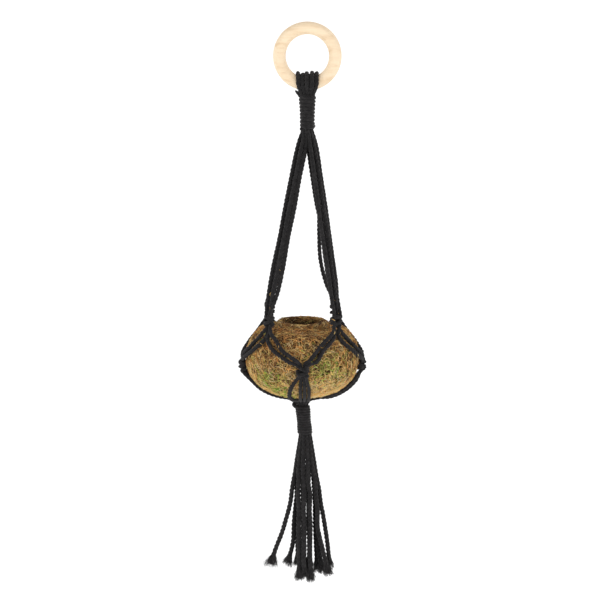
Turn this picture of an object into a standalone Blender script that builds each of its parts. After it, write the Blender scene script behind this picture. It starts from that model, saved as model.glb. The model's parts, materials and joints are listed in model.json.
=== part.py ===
"""Hanging macrame planter.

A wooden ring carries eight cords folded over it. A gathering wrap binds them, four arms of four
cords run down to the upper knots, the cords cross over a moss bowl to four lower knots, and all
sixteen ends gather under the bowl in a second wrap and hang on as a tassel. A plastic liner cup
stands in the bowl. The origin is the ring's inside top, where a hook carries it; +Z is up and
the ring faces -Y.
"""

import math

import bpy
from mathutils import Euler, Matrix, Vector

# ---- driving sizes, in metres ------------------------------------------------------------------

RING_OUTER_RADIUS = 0.035
RING_TUBE_RADIUS = 0.0065

CORD_DIAMETER = 0.0042          # a main cord where nothing squeezes it
CORD_GAP = 0.0003               # between cords that lie side by side
LOOP_CORD = 0.0022              # a main cord's thickness in the loop over the ring
WRAP_CORD = 0.0021              # the same cord where a wrap squeezes it
KNOT_CORD = 0.0027              # the same cord inside an upper knot
FLAT_KNOT_CORD = 0.0021         # the same cord inside a lower knot
LOOP_CLEARANCE = 0.0004         # between the loops and the ring, so that the sling can swing
LOOP_COUNT = 8

TOP_WRAP_DROP = 0.0105          # from the ring's underside to the top wrap
TOP_WRAP_LENGTH = 0.031
TOP_WRAP_TURNS = 8
TOP_WRAP_FLARE = 0.0030         # how much wider the wrap's mouth is than its lower half
WRAP_WALL = 0.0019              # thickness of both wraps

ARM_DROP = 0.191                # from the top wrap down to the middle of the upper knots
ARM_INSET = 0.0095              # how far inside the bowl's widest place the upper knots hang
ARM_CORD_GAP = 0.0004           # between an arm's cords, which lie in a zigzag ribbon
ARM_ZIGZAG = math.radians(42.4)
UPPER_KNOT_LENGTH = 0.013
UPPER_KNOT_WALL = 0.0029

BOWL_AXIS_X = -0.005            # the bowl hangs a little to the left of the ring
BOWL_RADIUS = 0.058
BOWL_RIM_DROP = 0.0065          # from the middle of the upper knots down to the bowl's rim
BOWL_DEPTH = 0.079
BOWL_BELLY_DEPTH = 0.038        # from the rim down to the widest place
BOWL_MOUTH_RADIUS = 0.0215
BOWL_COLLAR_RADIUS = 0.0265
BOWL_POCKET_DEPTH = 0.054
BOWL_GAP = 0.0009               # between the bowl and the cords that carry it

LINER_SIDE_GAP = 0.0009
LINER_WALL = 0.0012
LINER_HEIGHT = 0.046
LINER_FLOOR_GAP = 0.0006

LOWER_KNOT_DROPS = {"front": 0.042, "right": 0.047, "back": 0.044, "left": 0.047}
LOWER_KNOT_LENGTH = 0.010
LOWER_KNOT_WALL = 0.0024

GATHER_DROP = 0.0075            # from the bowl's underside to the cut ends of the sling
TAIL_PIVOT_DROP = 0.0015        # from those ends to the point the tail swings about
TAIL_GAP = 0.0022               # from that point to the top of the lower wrap
LOWER_WRAP_LENGTH = 0.032
LOWER_WRAP_TURNS = 11
TAIL_LEAN = math.radians(5.0)
TASSEL_GAP = 0.0022             # below the lower wrap, so that the strands can swing out
TASSEL_TOP_CORD = 0.0026
TASSEL_SPREAD_DEPTH = 0.030     # where the strands have their full thickness again

# ---- sizes that follow from them ---------------------------------------------------------------

RING_CENTRE_RADIUS = RING_OUTER_RADIUS - RING_TUBE_RADIUS
RING_INNER_RADIUS = RING_OUTER_RADIUS - 2.0 * RING_TUBE_RADIUS
RING_HEIGHT = 2.0 * RING_TUBE_RADIUS - RING_OUTER_RADIUS
BAR_HEIGHT = RING_HEIGHT - RING_CENTRE_RADIUS
LOOP_PITCH = LOOP_CORD + 2.0 * CORD_GAP
LOOP_REACH = (LOOP_COUNT - 1) / 2.0 * LOOP_PITCH + LOOP_CORD / 2.0
LOOP_HOLE = RING_CENTRE_RADIUS - math.sqrt(RING_INNER_RADIUS ** 2 - LOOP_REACH ** 2)
LOOP_RADIUS = LOOP_HOLE + LOOP_CLEARANCE + LOOP_CORD / 2.0
TOP_WRAP_TOP = RING_HEIGHT - RING_OUTER_RADIUS - TOP_WRAP_DROP
TOP_WRAP_BOTTOM = TOP_WRAP_TOP - TOP_WRAP_LENGTH

MOUTH_EDGE = 0.0012             # bevel of the mouth's inner edge
POCKET_ROUND = 0.0015           # bevel round the pocket's floor
LINER_FOOT = 0.0022             # bevel round the liner's foot
LINER_ROUND = 0.0015            # bevel round the liner's inside floor
CORE_EDGE = 0.0008              # bevel at both ends of the squeezed cords
EMPTY_SIZE = 0.01
# The collar: out from its lip and down, then the share of the way to the shoulder and down.
COLLAR_LIP = ((-0.0018, 0.0), (0.0, -0.0018), (0.0012, -0.0042))
COLLAR_SLOPE = ((0.30, -0.0062), (0.65, -0.0075))
LEG_DEPTH = 0.0045              # from the top wrap's top to where the loops' legs are squeezed
LEG_GAP = 0.0004                # between the legs there
# Under the bowl: how far out from the axis, the step between a knot's cords, and thickness.
NECK = (0.0085, 0.0031, 0.0026)
BEND = (0.0060, 0.0029, 0.0023)
INNER_BEND = (0.0036, 0.0006)   # out and across, for the cord that ends nearest the axis

CORD_PITCH = CORD_DIAMETER + CORD_GAP
WRAP_PITCH = WRAP_CORD + CORD_GAP
KNOT_PITCH = KNOT_CORD + CORD_GAP
FLAT_KNOT_PITCH = FLAT_KNOT_CORD + 2.0 * CORD_GAP
OUTER_RING_FACTOR = 0.5 / math.sin(math.radians(15.0))
INNER_RING_FACTOR = 0.5 / math.sin(math.radians(45.0))
WRAP_HOLE_RADIUS = OUTER_RING_FACTOR * WRAP_PITCH + WRAP_CORD / 2.0 + CORD_GAP

ARM_PITCH = CORD_DIAMETER + ARM_CORD_GAP
ARM_SIDE_PITCH = ARM_PITCH * math.sin(ARM_ZIGZAG)
ARM_STAGGER = ARM_PITCH * math.cos(ARM_ZIGZAG)
ARM_RADIUS = BOWL_RADIUS - ARM_INSET
UPPER_KNOT_HEIGHT = TOP_WRAP_BOTTOM - ARM_DROP

BOWL_RIM_HEIGHT = UPPER_KNOT_HEIGHT - BOWL_RIM_DROP
BOWL_BOTTOM = BOWL_RIM_HEIGHT - BOWL_DEPTH
GATHER_HEIGHT = BOWL_BOTTOM - GATHER_DROP
TAIL_PIVOT_HEIGHT = GATHER_HEIGHT - TAIL_PIVOT_DROP
LOWER_KNOT_HALF_THICKNESS = FLAT_KNOT_CORD / 2.0 + CORD_GAP + LOWER_KNOT_WALL
LOWER_KNOT_RADIUS = BOWL_RADIUS + BOWL_GAP + LOWER_KNOT_HALF_THICKNESS

ARM_ANGLES = {"front_left": 225.0, "front_right": 315.0, "back_right": 45.0, "back_left": 135.0}
KNOT_ANGLES = {"front": 270.0, "right": 0.0, "back": 90.0, "left": 180.0}

# Where each loop's cord goes on the front and the back of the ring: the arm, and its place there.
LOOP_PLACES = (
    (("front_left", 0), ("back_left", 3)),
    (("front_left", 2), ("back_left", 2)),
    (("front_left", 1), ("back_left", 1)),
    (("front_left", 3), ("back_left", 0)),
    (("front_right", 0), ("back_right", 3)),
    (("front_right", 1), ("back_right", 1)),
    (("front_right", 2), ("back_right", 2)),
    (("front_right", 3), ("back_right", 0)),
)

# The net's cords over the bowl. Each level holds the share of the way down from the upper knot,
# the share of the way round for the cord nearer the lower knot and for the other, thickness,
# and how far in or out the cord still is from its neighbour, in cord diameters.
NET_LEVELS = (
    (0.17, 0.16, 0.050, 0.72, 0.37),
    (0.34, 0.33, 0.065, 1.0, 0.0),
    (0.58, 0.54, 0.30, 1.0, 0.0),
)

# The same for the pair drawn tighter, from the front right arm to the front knot.
TIGHT_LEVELS = (
    (0.17, 0.21, 0.075, 0.72, 0.37),
    (0.34, 0.42, 0.22, 1.0, 0.0),
    (0.58, 0.67, 0.52, 1.0, 0.0),
)

# Their last stretch into a lower knot: across and up from the knot's mouth, and thickness.
LEAD_APPROACH = ((0.0085, 0.0082, 0.98), (0.0032, 0.0040, 0.68))
TRAIL_APPROACH = ((0.0150, 0.0060, 0.90), (0.0068, 0.0024, 0.62))

# The tassel's strands below the wrap, as hand-laid points: x, y, and the depth below the wrap.
TASSEL_ROUTES = {
    "front_left": (
        ((-0.0160, -0.0040, 0.056), (-0.0195, -0.0045, 0.078), (-0.0270, -0.0050, 0.104),
         (-0.0385, -0.0050, 0.137)),
        ((-0.0035, -0.0035, 0.060), (-0.0040, -0.0040, 0.095), (-0.0040, -0.0045, 0.146)),
        ((-0.0095, -0.0105, 0.060), (-0.0090, -0.0120, 0.095), (-0.0085, -0.0130, 0.150)),
        ((-0.0030, -0.0115, 0.060), (-0.0025, -0.0130, 0.095), (-0.0025, -0.0150, 0.147)),
    ),
    "front_right": (
        ((0.0030, -0.0115, 0.060), (0.0035, -0.0130, 0.095), (0.0040, -0.0145, 0.151)),
        ((0.0020, -0.0035, 0.060), (0.0025, -0.0040, 0.095), (0.0030, -0.0045, 0.148)),
        ((0.0090, -0.0095, 0.060), (0.0110, -0.0105, 0.095), (0.0225, -0.0120, 0.145)),
        ((0.0125, -0.0035, 0.056), (0.0170, -0.0035, 0.085), (0.0240, -0.0040, 0.139)),
    ),
    "back_right": (
        ((0.0100, 0.0030, 0.060), (0.0110, 0.0035, 0.095), (0.0160, 0.0040, 0.147)),
        ((0.0020, 0.0030, 0.060), (0.0025, 0.0035, 0.095), (0.0030, 0.0040, 0.143)),
        ((0.0075, 0.0095, 0.060), (0.0085, 0.0110, 0.095), (0.0110, 0.0130, 0.149)),
        ((0.0010, 0.0105, 0.060), (0.0015, 0.0125, 0.095), (0.0020, 0.0150, 0.145)),
    ),
    "back_left": (
        ((-0.0050, 0.0105, 0.060), (-0.0045, 0.0125, 0.095), (-0.0040, 0.0140, 0.148)),
        ((-0.0040, 0.0035, 0.060), (-0.0040, 0.0035, 0.095), (-0.0035, 0.0040, 0.144)),
        ((-0.0105, 0.0085, 0.060), (-0.0105, 0.0105, 0.095), (-0.0095, 0.0125, 0.142)),
        ((-0.0110, 0.0020, 0.060), (-0.0140, 0.0030, 0.095), (-0.0205, 0.0040, 0.139)),
    ),
}

# ---- pivots: the empties that the moving pieces hang on ----------------------------------------

PIVOTS = {
    "ring": (0.0, 0.0, 0.0),
    "sling": (0.0, 0.0, BAR_HEIGHT),
    "bowl": (BOWL_AXIS_X, 0.0, BOWL_RIM_HEIGHT),
    "liner": (BOWL_AXIS_X, 0.0, BOWL_RIM_HEIGHT - BOWL_POCKET_DEPTH),
    "tail": (BOWL_AXIS_X, 0.0, TAIL_PIVOT_HEIGHT),
}

FINISHES = {
    "wood": ((0.86, 0.70, 0.47, 1.0), 0.55),
    "cord": ((0.030, 0.028, 0.030, 1.0), 0.92),
    "moss": ((0.42, 0.32, 0.12, 1.0), 0.95),
    "plastic": ((0.05, 0.05, 0.05, 1.0), 0.45),
}


# ---- helpers -----------------------------------------------------------------------------------

def clear_scene():
    """Remove every object that the file opened with."""
    for old in list(bpy.data.objects):
        bpy.data.objects.remove(old, do_unlink=True)


def direction(angle):
    """Unit vector in the ground plane at an angle in degrees from +X."""
    turn = math.radians(angle)
    return Vector((math.cos(turn), math.sin(turn), 0.0))


def make_material(name, finish):
    colour, roughness = FINISHES[finish]
    material = bpy.data.materials.new(name)
    material.use_nodes = True
    shader = material.node_tree.nodes["Principled BSDF"]
    shader.inputs["Base Color"].default_value = colour
    shader.inputs["Roughness"].default_value = roughness
    shader.inputs["Metallic"].default_value = 0.0
    material.diffuse_color = colour
    return material


def make_pivots(collection):
    """One empty for each moving body, on its joint's axis."""
    empties = {}
    for name, place in PIVOTS.items():
        empty = bpy.data.objects.new(name + "_pivot", None)
        empty.location = place
        empty.empty_display_size = EMPTY_SIZE
        collection.objects.link(empty)
        empties[name] = empty
    return empties


def add_piece(name, data, pivot, finish, collection, empties):
    """Put a piece in the collection, on its pivot. Its data is relative to the pivot."""
    piece = bpy.data.objects.new(name, data)
    piece.data.materials.append(make_material(name, finish))
    collection.objects.link(piece)
    piece.parent = empties[pivot]
    return piece


def smooth_route(stations, steps):
    """Points of a Catmull-Rom curve through stations of (point, diameter).

    steps holds the number of parts that each stretch between two stations is cut into.
    """
    padded = [stations[0]] + list(stations) + [stations[-1]]
    route = []
    for index, parts in enumerate(steps):
        before, start, end, after = padded[index:index + 4]
        for part in range(parts):
            t = part / parts
            point = (
                start[0] * (1.0 + t * t * (1.5 * t - 2.5))
                + end[0] * (t * (0.5 + t * (2.0 - 1.5 * t)))
                + before[0] * (t * (-0.5 + t * (1.0 - 0.5 * t)))
                + after[0] * (t * t * (0.5 * t - 0.5))
            )
            route.append((point, start[1] + (end[1] - start[1]) * t))
    route.append(stations[-1])
    return route


def cord_curve(name, route, origin):
    """A round cord along a route of (point, diameter), as a curve with filled ends."""
    curve = bpy.data.curves.new(name, "CURVE")
    curve.dimensions = "3D"
    curve.bevel_mode = "ROUND"
    curve.bevel_depth = CORD_DIAMETER / 2.0
    curve.bevel_resolution = 2
    curve.use_fill_caps = True
    spline = curve.splines.new("POLY")
    spline.points.add(len(route) - 1)
    for target, (point, diameter) in zip(spline.points, route):
        local = point - origin
        target.co = (local.x, local.y, local.z, 1.0)
        target.radius = diameter / CORD_DIAMETER
    spline.use_smooth = True
    return curve


def turned_mesh(name, profile):
    """Mesh of a closed profile of (radius, height), for a Screw modifier to turn."""
    mesh = bpy.data.meshes.new(name)
    count = len(profile)
    vertices = [(radius, 0.0, height) for radius, height in profile]
    edges = []
    for index in range(count):
        following = (index + 1) % count
        if profile[index][0] > 0.0 or profile[following][0] > 0.0:
            edges.append((index, following))
    mesh.from_pydata(vertices, edges, [])
    return mesh


def add_screw(piece, steps):
    screw = piece.modifiers.new("turn", "SCREW")
    screw.axis = "Z"
    screw.steps = steps
    screw.render_steps = steps
    screw.use_merge_vertices = True
    screw.merge_threshold = 0.00001
    screw.use_smooth_shade = True
    return screw


# ---- the bowl's outline, which the cords follow ------------------------------------------------

def bowl_outline_point(height):
    """Radius of the bowl's outer side at a height below its rim (a negative number)."""
    above = height + BOWL_BELLY_DEPTH
    if above < 0.0:
        share = -above / (BOWL_DEPTH - BOWL_BELLY_DEPTH)
        power = 2.3
    else:
        share = above / (BOWL_BELLY_DEPTH * 1.16)
        power = 2.1
    return BOWL_RADIUS * max(0.0, 1.0 - share ** power) ** (1.0 / power)


def bowl_outer_side():
    """The outer side from the collar's foot to the bottom, as (radius, height) points."""
    collar_foot = -0.12 * BOWL_DEPTH
    points = []
    for index in range(9):
        height = collar_foot + (-BOWL_BELLY_DEPTH - collar_foot) * index / 8.0
        points.append((bowl_outline_point(height), height))
    for index in range(1, 10):
        turn = math.radians(90.0 * index / 10.0)
        height = -BOWL_BELLY_DEPTH - (BOWL_DEPTH - BOWL_BELLY_DEPTH) * math.sin(turn)
        points.append((bowl_outline_point(height), height))
    return points


def bowl_collar():
    """The soft collar round the mouth, from its inner edge out to the shoulder."""
    lip = BOWL_COLLAR_RADIUS
    shoulder = bowl_outer_side()[0][0]
    points = [(BOWL_MOUTH_RADIUS + MOUTH_EDGE, 0.0)]
    points += [(lip + out, down) for out, down in COLLAR_LIP]
    points += [(lip + share * (shoulder - lip), down) for share, down in COLLAR_SLOPE]
    return points


def bowl_offset_side(offset):
    """The outer side moved out along its normals, as world (radius, height) points."""
    side = bowl_collar()[3:] + bowl_outer_side()
    side.append((0.0, -BOWL_DEPTH))
    moved = []
    for index, (radius, height) in enumerate(side):
        before = side[max(index - 1, 0)]
        after = side[min(index + 1, len(side) - 1)]
        along = Vector((after[0] - before[0], after[1] - before[1])).normalized()
        out = Vector((-along.y, along.x))
        moved.append((radius + out.x * offset, BOWL_RIM_HEIGHT + height + out.y * offset))
    return moved


def side_radius(side, height):
    """Radius of an offset side at a world height."""
    for upper, lower in zip(side, side[1:]):
        if lower[1] <= height <= upper[1]:
            share = (upper[1] - height) / (upper[1] - lower[1])
            return upper[0] + (lower[0] - upper[0]) * share
    return 0.0 if height < side[-1][1] else side[0][0]


def side_height(side, radius):
    """World height of an offset side's lower half at a radius."""
    for upper, lower in zip(side, side[1:]):
        if upper[1] < BOWL_RIM_HEIGHT - BOWL_BELLY_DEPTH and lower[0] <= radius <= upper[0]:
            share = (upper[0] - radius) / (upper[0] - lower[0])
            return upper[1] + (lower[1] - upper[1]) * share
    return side[-1][1]


# ---- routes of the main cords ------------------------------------------------------------------

def packed_place(centre_angle, place, pitch):
    """Place of one of sixteen cords packed in a round: four sectors of three outer, one inner."""
    if place == 1:
        return direction(centre_angle) * (INNER_RING_FACTOR * pitch)
    turn = {0: -30.0, 2: 0.0, 3: 30.0}[place]
    return direction(centre_angle + turn) * (OUTER_RING_FACTOR * pitch)


def loop_stations(index, side):
    """Half a loop over the ring's bottom bar; side is -1 in front of the ring, 1 behind it.

    All loops are centred on the line that the sling swings about.
    """
    x = (index - (LOOP_COUNT - 1) / 2.0) * LOOP_PITCH
    stations = []
    for angle in (90.0, 60.0, 30.0, 0.0, -24.0):
        turn = math.radians(angle)
        height = BAR_HEIGHT + LOOP_RADIUS * math.sin(turn)
        point = Vector((x, side * LOOP_RADIUS * math.cos(turn), height))
        stations.append((point, LOOP_CORD))
    return stations


def wrap_stations(arm, place):
    """A cord's stretch inside the top wrap."""
    angle = ARM_ANGLES[arm]
    levels = (
        (TOP_WRAP_TOP - LEG_DEPTH, LOOP_CORD, LOOP_CORD + LEG_GAP),
        (TOP_WRAP_TOP - 0.4 * TOP_WRAP_LENGTH, WRAP_CORD, WRAP_PITCH),
        (TOP_WRAP_BOTTOM, WRAP_CORD, WRAP_PITCH),
    )
    stations = []
    for height, diameter, pitch in levels:
        point = packed_place(angle, place, pitch) + Vector((0.0, 0.0, height))
        stations.append((point, diameter))
    return stations


def arm_place(arm, place, share, height, spread):
    """A point of an arm's cord; share runs from 0 at the wrap to 1 at the upper knot."""
    outward = direction(ARM_ANGLES[arm])
    across = direction(ARM_ANGLES[arm] + 90.0)
    start = OUTER_RING_FACTOR * WRAP_PITCH * 0.85
    centre = outward * (start + (ARM_RADIUS - start) * share)
    centre.x += BOWL_AXIS_X * share
    side = (place - 1.5) * ARM_SIDE_PITCH * spread
    depth = (0.5 if place % 2 == 0 else -0.5) * ARM_STAGGER * spread
    return centre + across * side + outward * depth + Vector((0.0, 0.0, height))


def arm_stations(arm, place):
    """A cord's stretch from the top wrap to the upper knot."""
    top = TOP_WRAP_BOTTOM
    bottom = UPPER_KNOT_HEIGHT + UPPER_KNOT_LENGTH / 2.0
    levels = ((0.075, 0.72), (0.165, 1.0), (0.5, 1.0), (0.89, 1.0))
    stations = []
    for share, spread in levels:
        height = top + (bottom - top) * share
        stations.append((arm_place(arm, place, share, height, spread), CORD_DIAMETER * spread))
    return stations


def upper_knot_centre(arm):
    centre = direction(ARM_ANGLES[arm]) * ARM_RADIUS
    return centre + Vector((BOWL_AXIS_X, 0.0, UPPER_KNOT_HEIGHT))


def upper_knot_stations(arm, place):
    """A cord's stretch through the upper knot, where the four cords lie two by two."""
    outward = direction(ARM_ANGLES[arm])
    across = direction(ARM_ANGLES[arm] + 90.0)
    side = across * ((0.5 if place >= 2 else -0.5) * KNOT_PITCH)
    depth = outward * ((0.5 if place % 2 == 0 else -0.5) * KNOT_PITCH)
    middle = upper_knot_centre(arm) + side + depth
    half = Vector((0.0, 0.0, UPPER_KNOT_LENGTH / 2.0))
    return [(middle + half, KNOT_CORD), (middle - half, KNOT_CORD)]


def on_bowl(angle, height, diameter, reach):
    """A station of a cord that lies on the bowl, at least reach out from the bowl's axis."""
    side = bowl_offset_side(BOWL_GAP + diameter / 2.0)
    point = direction(angle) * max(side_radius(side, height), reach)
    return (point + Vector((BOWL_AXIS_X, 0.0, height)), diameter)


def net_stations(arm, place, knot):
    """A cord's stretch over the bowl, from the upper knot to a lower knot."""
    leads = place in (1, 2)
    turn = 45.0 if place >= 2 else -45.0
    top = UPPER_KNOT_HEIGHT - UPPER_KNOT_LENGTH / 2.0
    bottom = BOWL_RIM_HEIGHT - LOWER_KNOT_DROPS[knot] + LOWER_KNOT_LENGTH / 2.0
    stations = []
    levels = TIGHT_LEVELS if (arm, knot) == ("front_right", "front") else NET_LEVELS
    for share, lead_turn, trail_turn, thickness, depth in levels:
        height = top + (bottom - top) * share
        angle = ARM_ANGLES[arm] + turn * (lead_turn if leads else trail_turn)
        reach = ARM_RADIUS + (LOWER_KNOT_RADIUS - ARM_RADIUS) * share
        reach += CORD_DIAMETER * (depth if place % 2 == 0 else -depth)
        stations.append(on_bowl(angle, height, CORD_DIAMETER * thickness, reach))
    for across, up, thickness in (LEAD_APPROACH if leads else TRAIL_APPROACH):
        angle = KNOT_ANGLES[knot] - math.degrees(across / LOWER_KNOT_RADIUS) * math.copysign(1.0, turn)
        stations.append(on_bowl(angle, bottom + up, CORD_DIAMETER * thickness, LOWER_KNOT_RADIUS))
    return stations


def knot_row_place(place):
    """Place in the row of four cords in a lower knot, counted along the turning direction."""
    return {2: -0.5, 3: -1.5, 1: 0.5, 0: 1.5}[place]


def lower_knot_centre(knot):
    centre = direction(KNOT_ANGLES[knot]) * LOWER_KNOT_RADIUS
    return centre + Vector((BOWL_AXIS_X, 0.0, BOWL_RIM_HEIGHT - LOWER_KNOT_DROPS[knot]))


def lower_knot_stations(place, knot):
    """A cord's stretch through a lower knot, where the four cords lie in one flat row."""
    across = direction(KNOT_ANGLES[knot] + 90.0)
    middle = lower_knot_centre(knot) + across * (knot_row_place(place) * FLAT_KNOT_PITCH)
    half = Vector((0.0, 0.0, LOWER_KNOT_LENGTH / 2.0))
    return [(middle + half, FLAT_KNOT_CORD), (middle - half, FLAT_KNOT_CORD)]


def base_stations(place, knot):
    """A cord's stretch under the bowl, from a lower knot to the gathering place."""
    outward = direction(KNOT_ANGLES[knot])
    across = direction(KNOT_ANGLES[knot] + 90.0)
    axis = Vector((BOWL_AXIS_X, 0.0, 0.0))
    row = knot_row_place(place)
    levels = ((0.93, 1.0), (0.73, 1.0), (0.48, 1.0), (0.26, 0.92))
    stations = []
    for share, thickness in levels:
        diameter = CORD_DIAMETER * thickness
        side = bowl_offset_side(BOWL_GAP + diameter / 2.0)
        radius = BOWL_RADIUS * share
        across_step = row * (diameter + CORD_GAP)
        point = axis + outward * radius + across * across_step
        point.z = side_height(side, math.hypot(radius, across_step))
        stations.append((point, diameter))
    end_place = {-1.5: 0, -0.5: 2, 0.5: 1, 1.5: 3}[row]
    inner = end_place == 1
    out, step, thickness = NECK
    neck = axis + outward * out + across * (row * step)
    neck.z = BOWL_BOTTOM - (0.36 if inner else 0.58) * GATHER_DROP
    stations.append((neck, thickness))
    out, step, thickness = BEND
    bend = axis + outward * out + across * (row * step)
    if inner:
        bend = axis + outward * INNER_BEND[0] + across * INNER_BEND[1]
    bend.z = BOWL_BOTTOM - (0.50 if inner else 0.82) * GATHER_DROP
    stations.append((bend, thickness))
    end = axis + packed_place(KNOT_ANGLES[knot], end_place, WRAP_PITCH)
    end.z = GATHER_HEIGHT
    stations.append((end, WRAP_CORD))
    return stations


def lower_knot_of(arm, place):
    """The lower knot that a cord runs to: the first two go one way, the last two the other."""
    turn = 45.0 if place >= 2 else -45.0
    target = (ARM_ANGLES[arm] + turn) % 360.0
    return next(name for name, angle in KNOT_ANGLES.items() if angle == target)


def half_cord_stations(arm, place):
    """All stations of a half cord below its loop, with the parts of each stretch."""
    knot = lower_knot_of(arm, place)
    stations = wrap_stations(arm, place)
    stations += arm_stations(arm, place)
    stations += upper_knot_stations(arm, place)
    stations += net_stations(arm, place, knot)
    stations += lower_knot_stations(place, knot)
    stations += base_stations(place, knot)
    wrap_steps = [1, 1, 1]
    arm_steps = [2, 2, 1, 2]
    net_steps = [1, 1, 1, 2, 2, 1, 1]
    base_steps = [1, 1, 2, 2, 2, 1, 1, 1]
    return stations, wrap_steps + arm_steps + net_steps + base_steps


def rest_on_bowl(route):
    """Move each point of a route that is inside the bowl's offset side out to that side."""
    belly = BOWL_RIM_HEIGHT - BOWL_BELLY_DEPTH
    underside = belly - 0.6 * (BOWL_DEPTH - BOWL_BELLY_DEPTH)
    rested = []
    for point, diameter in route:
        radius = math.hypot(point.x - BOWL_AXIS_X, point.y)
        side = bowl_offset_side(BOWL_GAP + diameter / 2.0)
        if underside < point.z < BOWL_RIM_HEIGHT:
            growth = max(1.0, side_radius(side, point.z) / radius)
            x = BOWL_AXIS_X + (point.x - BOWL_AXIS_X) * growth
            point = Vector((x, point.y * growth, point.z))
        elif BOWL_BOTTOM < point.z <= underside:
            point = Vector((point.x, point.y, min(point.z, side_height(side, radius))))
        rested.append((point, diameter))
    return rested


def main_cord_route(index):
    """A main cord from one cut end, over the ring, to the other."""
    (front_arm, front_place), (back_arm, back_place) = LOOP_PLACES[index]
    front, steps = half_cord_stations(front_arm, front_place)
    back, _ = half_cord_stations(back_arm, back_place)
    front_loop = loop_stations(index, -1.0)
    back_loop = loop_stations(index, 1.0)
    stations = front[::-1] + front_loop[:0:-1] + back_loop + back
    all_steps = steps[::-1] + [1] + [1] * 8 + [1] + steps
    return rest_on_bowl(smooth_route(stations, all_steps))


# ---- pieces ------------------------------------------------------------------------------------

def build_ring(collection, empties):
    """The wooden ring: a torus standing in the XZ plane."""
    bpy.ops.mesh.primitive_torus_add(
        major_segments=36, minor_segments=12,
        major_radius=RING_CENTRE_RADIUS, minor_radius=RING_TUBE_RADIUS,
        location=(0.0, 0.0, 0.0), rotation=(0.0, 0.0, 0.0),
    )
    made = bpy.context.object
    mesh = made.data
    mesh.transform(Matrix.Rotation(math.radians(90.0), 4, "X"))
    mesh.transform(Matrix.Translation((0.0, 0.0, RING_HEIGHT)))
    bpy.data.objects.remove(made)
    mesh.shade_smooth()
    add_piece("hanging_ring", mesh, "ring", "wood", collection, empties)


def build_main_cords(collection, empties):
    origin = Vector(PIVOTS["sling"])
    for index in range(len(LOOP_PLACES)):
        name = "main_cord_%d" % (index + 1)
        curve = cord_curve(name, main_cord_route(index), origin)
        add_piece(name, curve, "sling", "cord", collection, empties)


def wrap_profile(hole, length, turns):
    """Section of a gathering wrap: a rounded turn of cord for each pitch, and a plain inside.

    hole gives the inside radius at a share of the length, from 0 at the top to 1 at the bottom.
    """
    outer = []
    for turn in range(turns):
        for share, bulge in ((0.0, 0.6), (0.3, 1.0), (0.7, 1.0)):
            along = (turn + share) / turns
            outer.append((hole(along) + WRAP_WALL * bulge, -along * length))
    outer.append((hole(1.0) + WRAP_WALL * 0.6, -length))
    inner = [(hole(share), -share * length) for share in (1.0, 0.4, 0.12, 0.0)]
    return outer + inner


def top_wrap_hole(share):
    """The top wrap's inside radius: wide where the cords come off the ring, then close."""
    if share < 0.4:
        return WRAP_HOLE_RADIUS + TOP_WRAP_FLARE * (1.0 - share / 0.4) ** 1.4
    return WRAP_HOLE_RADIUS


def build_top_wrap(collection, empties):
    mesh = turned_mesh("top_wrap", wrap_profile(top_wrap_hole, TOP_WRAP_LENGTH, TOP_WRAP_TURNS))
    mesh.transform(Matrix.Translation((0.0, 0.0, TOP_WRAP_TOP - BAR_HEIGHT)))
    wrap = add_piece("top_wrap", mesh, "sling", "cord", collection, empties)
    add_screw(wrap, 18)


def build_upper_knots(collection, empties):
    """The upper knots: round barrels of wound cord, each round an arm's four cords."""
    hole = KNOT_PITCH / math.sqrt(2.0) + KNOT_CORD / 2.0 + CORD_GAP
    half = UPPER_KNOT_LENGTH / 2.0
    wall = UPPER_KNOT_WALL
    profile = [(hole + 0.45 * wall, half), (hole + 0.9 * wall, 0.72 * half),
               (hole + wall, 0.35 * half), (hole + 0.86 * wall, 0.0),
               (hole + wall, -0.35 * half), (hole + 0.9 * wall, -0.72 * half),
               (hole + 0.45 * wall, -half), (hole, -half), (hole, half)]
    origin = Vector(PIVOTS["sling"])
    for arm in ARM_ANGLES:
        name = "upper_knot_" + arm
        knot = add_piece(name, turned_mesh(name, profile), "sling", "cord", collection, empties)
        knot.location = upper_knot_centre(arm) - origin
        add_screw(knot, 12)


def racetrack(half_width, half_depth, arc_points):
    """A closed flat outline with straight long sides and round ends."""
    straight = half_width - half_depth
    points = []
    for end in (1.0, -1.0):
        for index in range(arc_points):
            turn = math.radians(-90.0 + 180.0 * index / (arc_points - 1))
            points.append((end * (straight + half_depth * math.cos(turn)),
                           end * half_depth * math.sin(turn)))
    return points


def build_lower_knots(collection, empties):
    """The lower knots: flat bands of wound cord round four cords in a row."""
    origin = Vector(PIVOTS["sling"])
    half_wall = LOWER_KNOT_WALL / 2.0
    half_width = 1.5 * FLAT_KNOT_PITCH + FLAT_KNOT_CORD / 2.0 + CORD_GAP + half_wall
    half_depth = FLAT_KNOT_CORD / 2.0 + CORD_GAP + half_wall
    for knot, angle in KNOT_ANGLES.items():
        name = "lower_knot_" + knot
        curve = bpy.data.curves.new(name, "CURVE")
        curve.dimensions = "3D"
        curve.bevel_depth = half_wall
        curve.bevel_resolution = 1
        curve.extrude = LOWER_KNOT_LENGTH / 2.0 - half_wall
        outline = racetrack(half_width, half_depth, 6)
        spline = curve.splines.new("POLY")
        spline.points.add(len(outline) - 1)
        for target, (x, y) in zip(spline.points, outline):
            target.co = (x, y, 0.0, 1.0)
        spline.use_cyclic_u = True
        band = add_piece(name, curve, "sling", "cord", collection, empties)
        band.location = lower_knot_centre(knot) - origin
        band.rotation_euler = Euler((0.0, 0.0, math.radians(angle + 90.0)))


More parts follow.
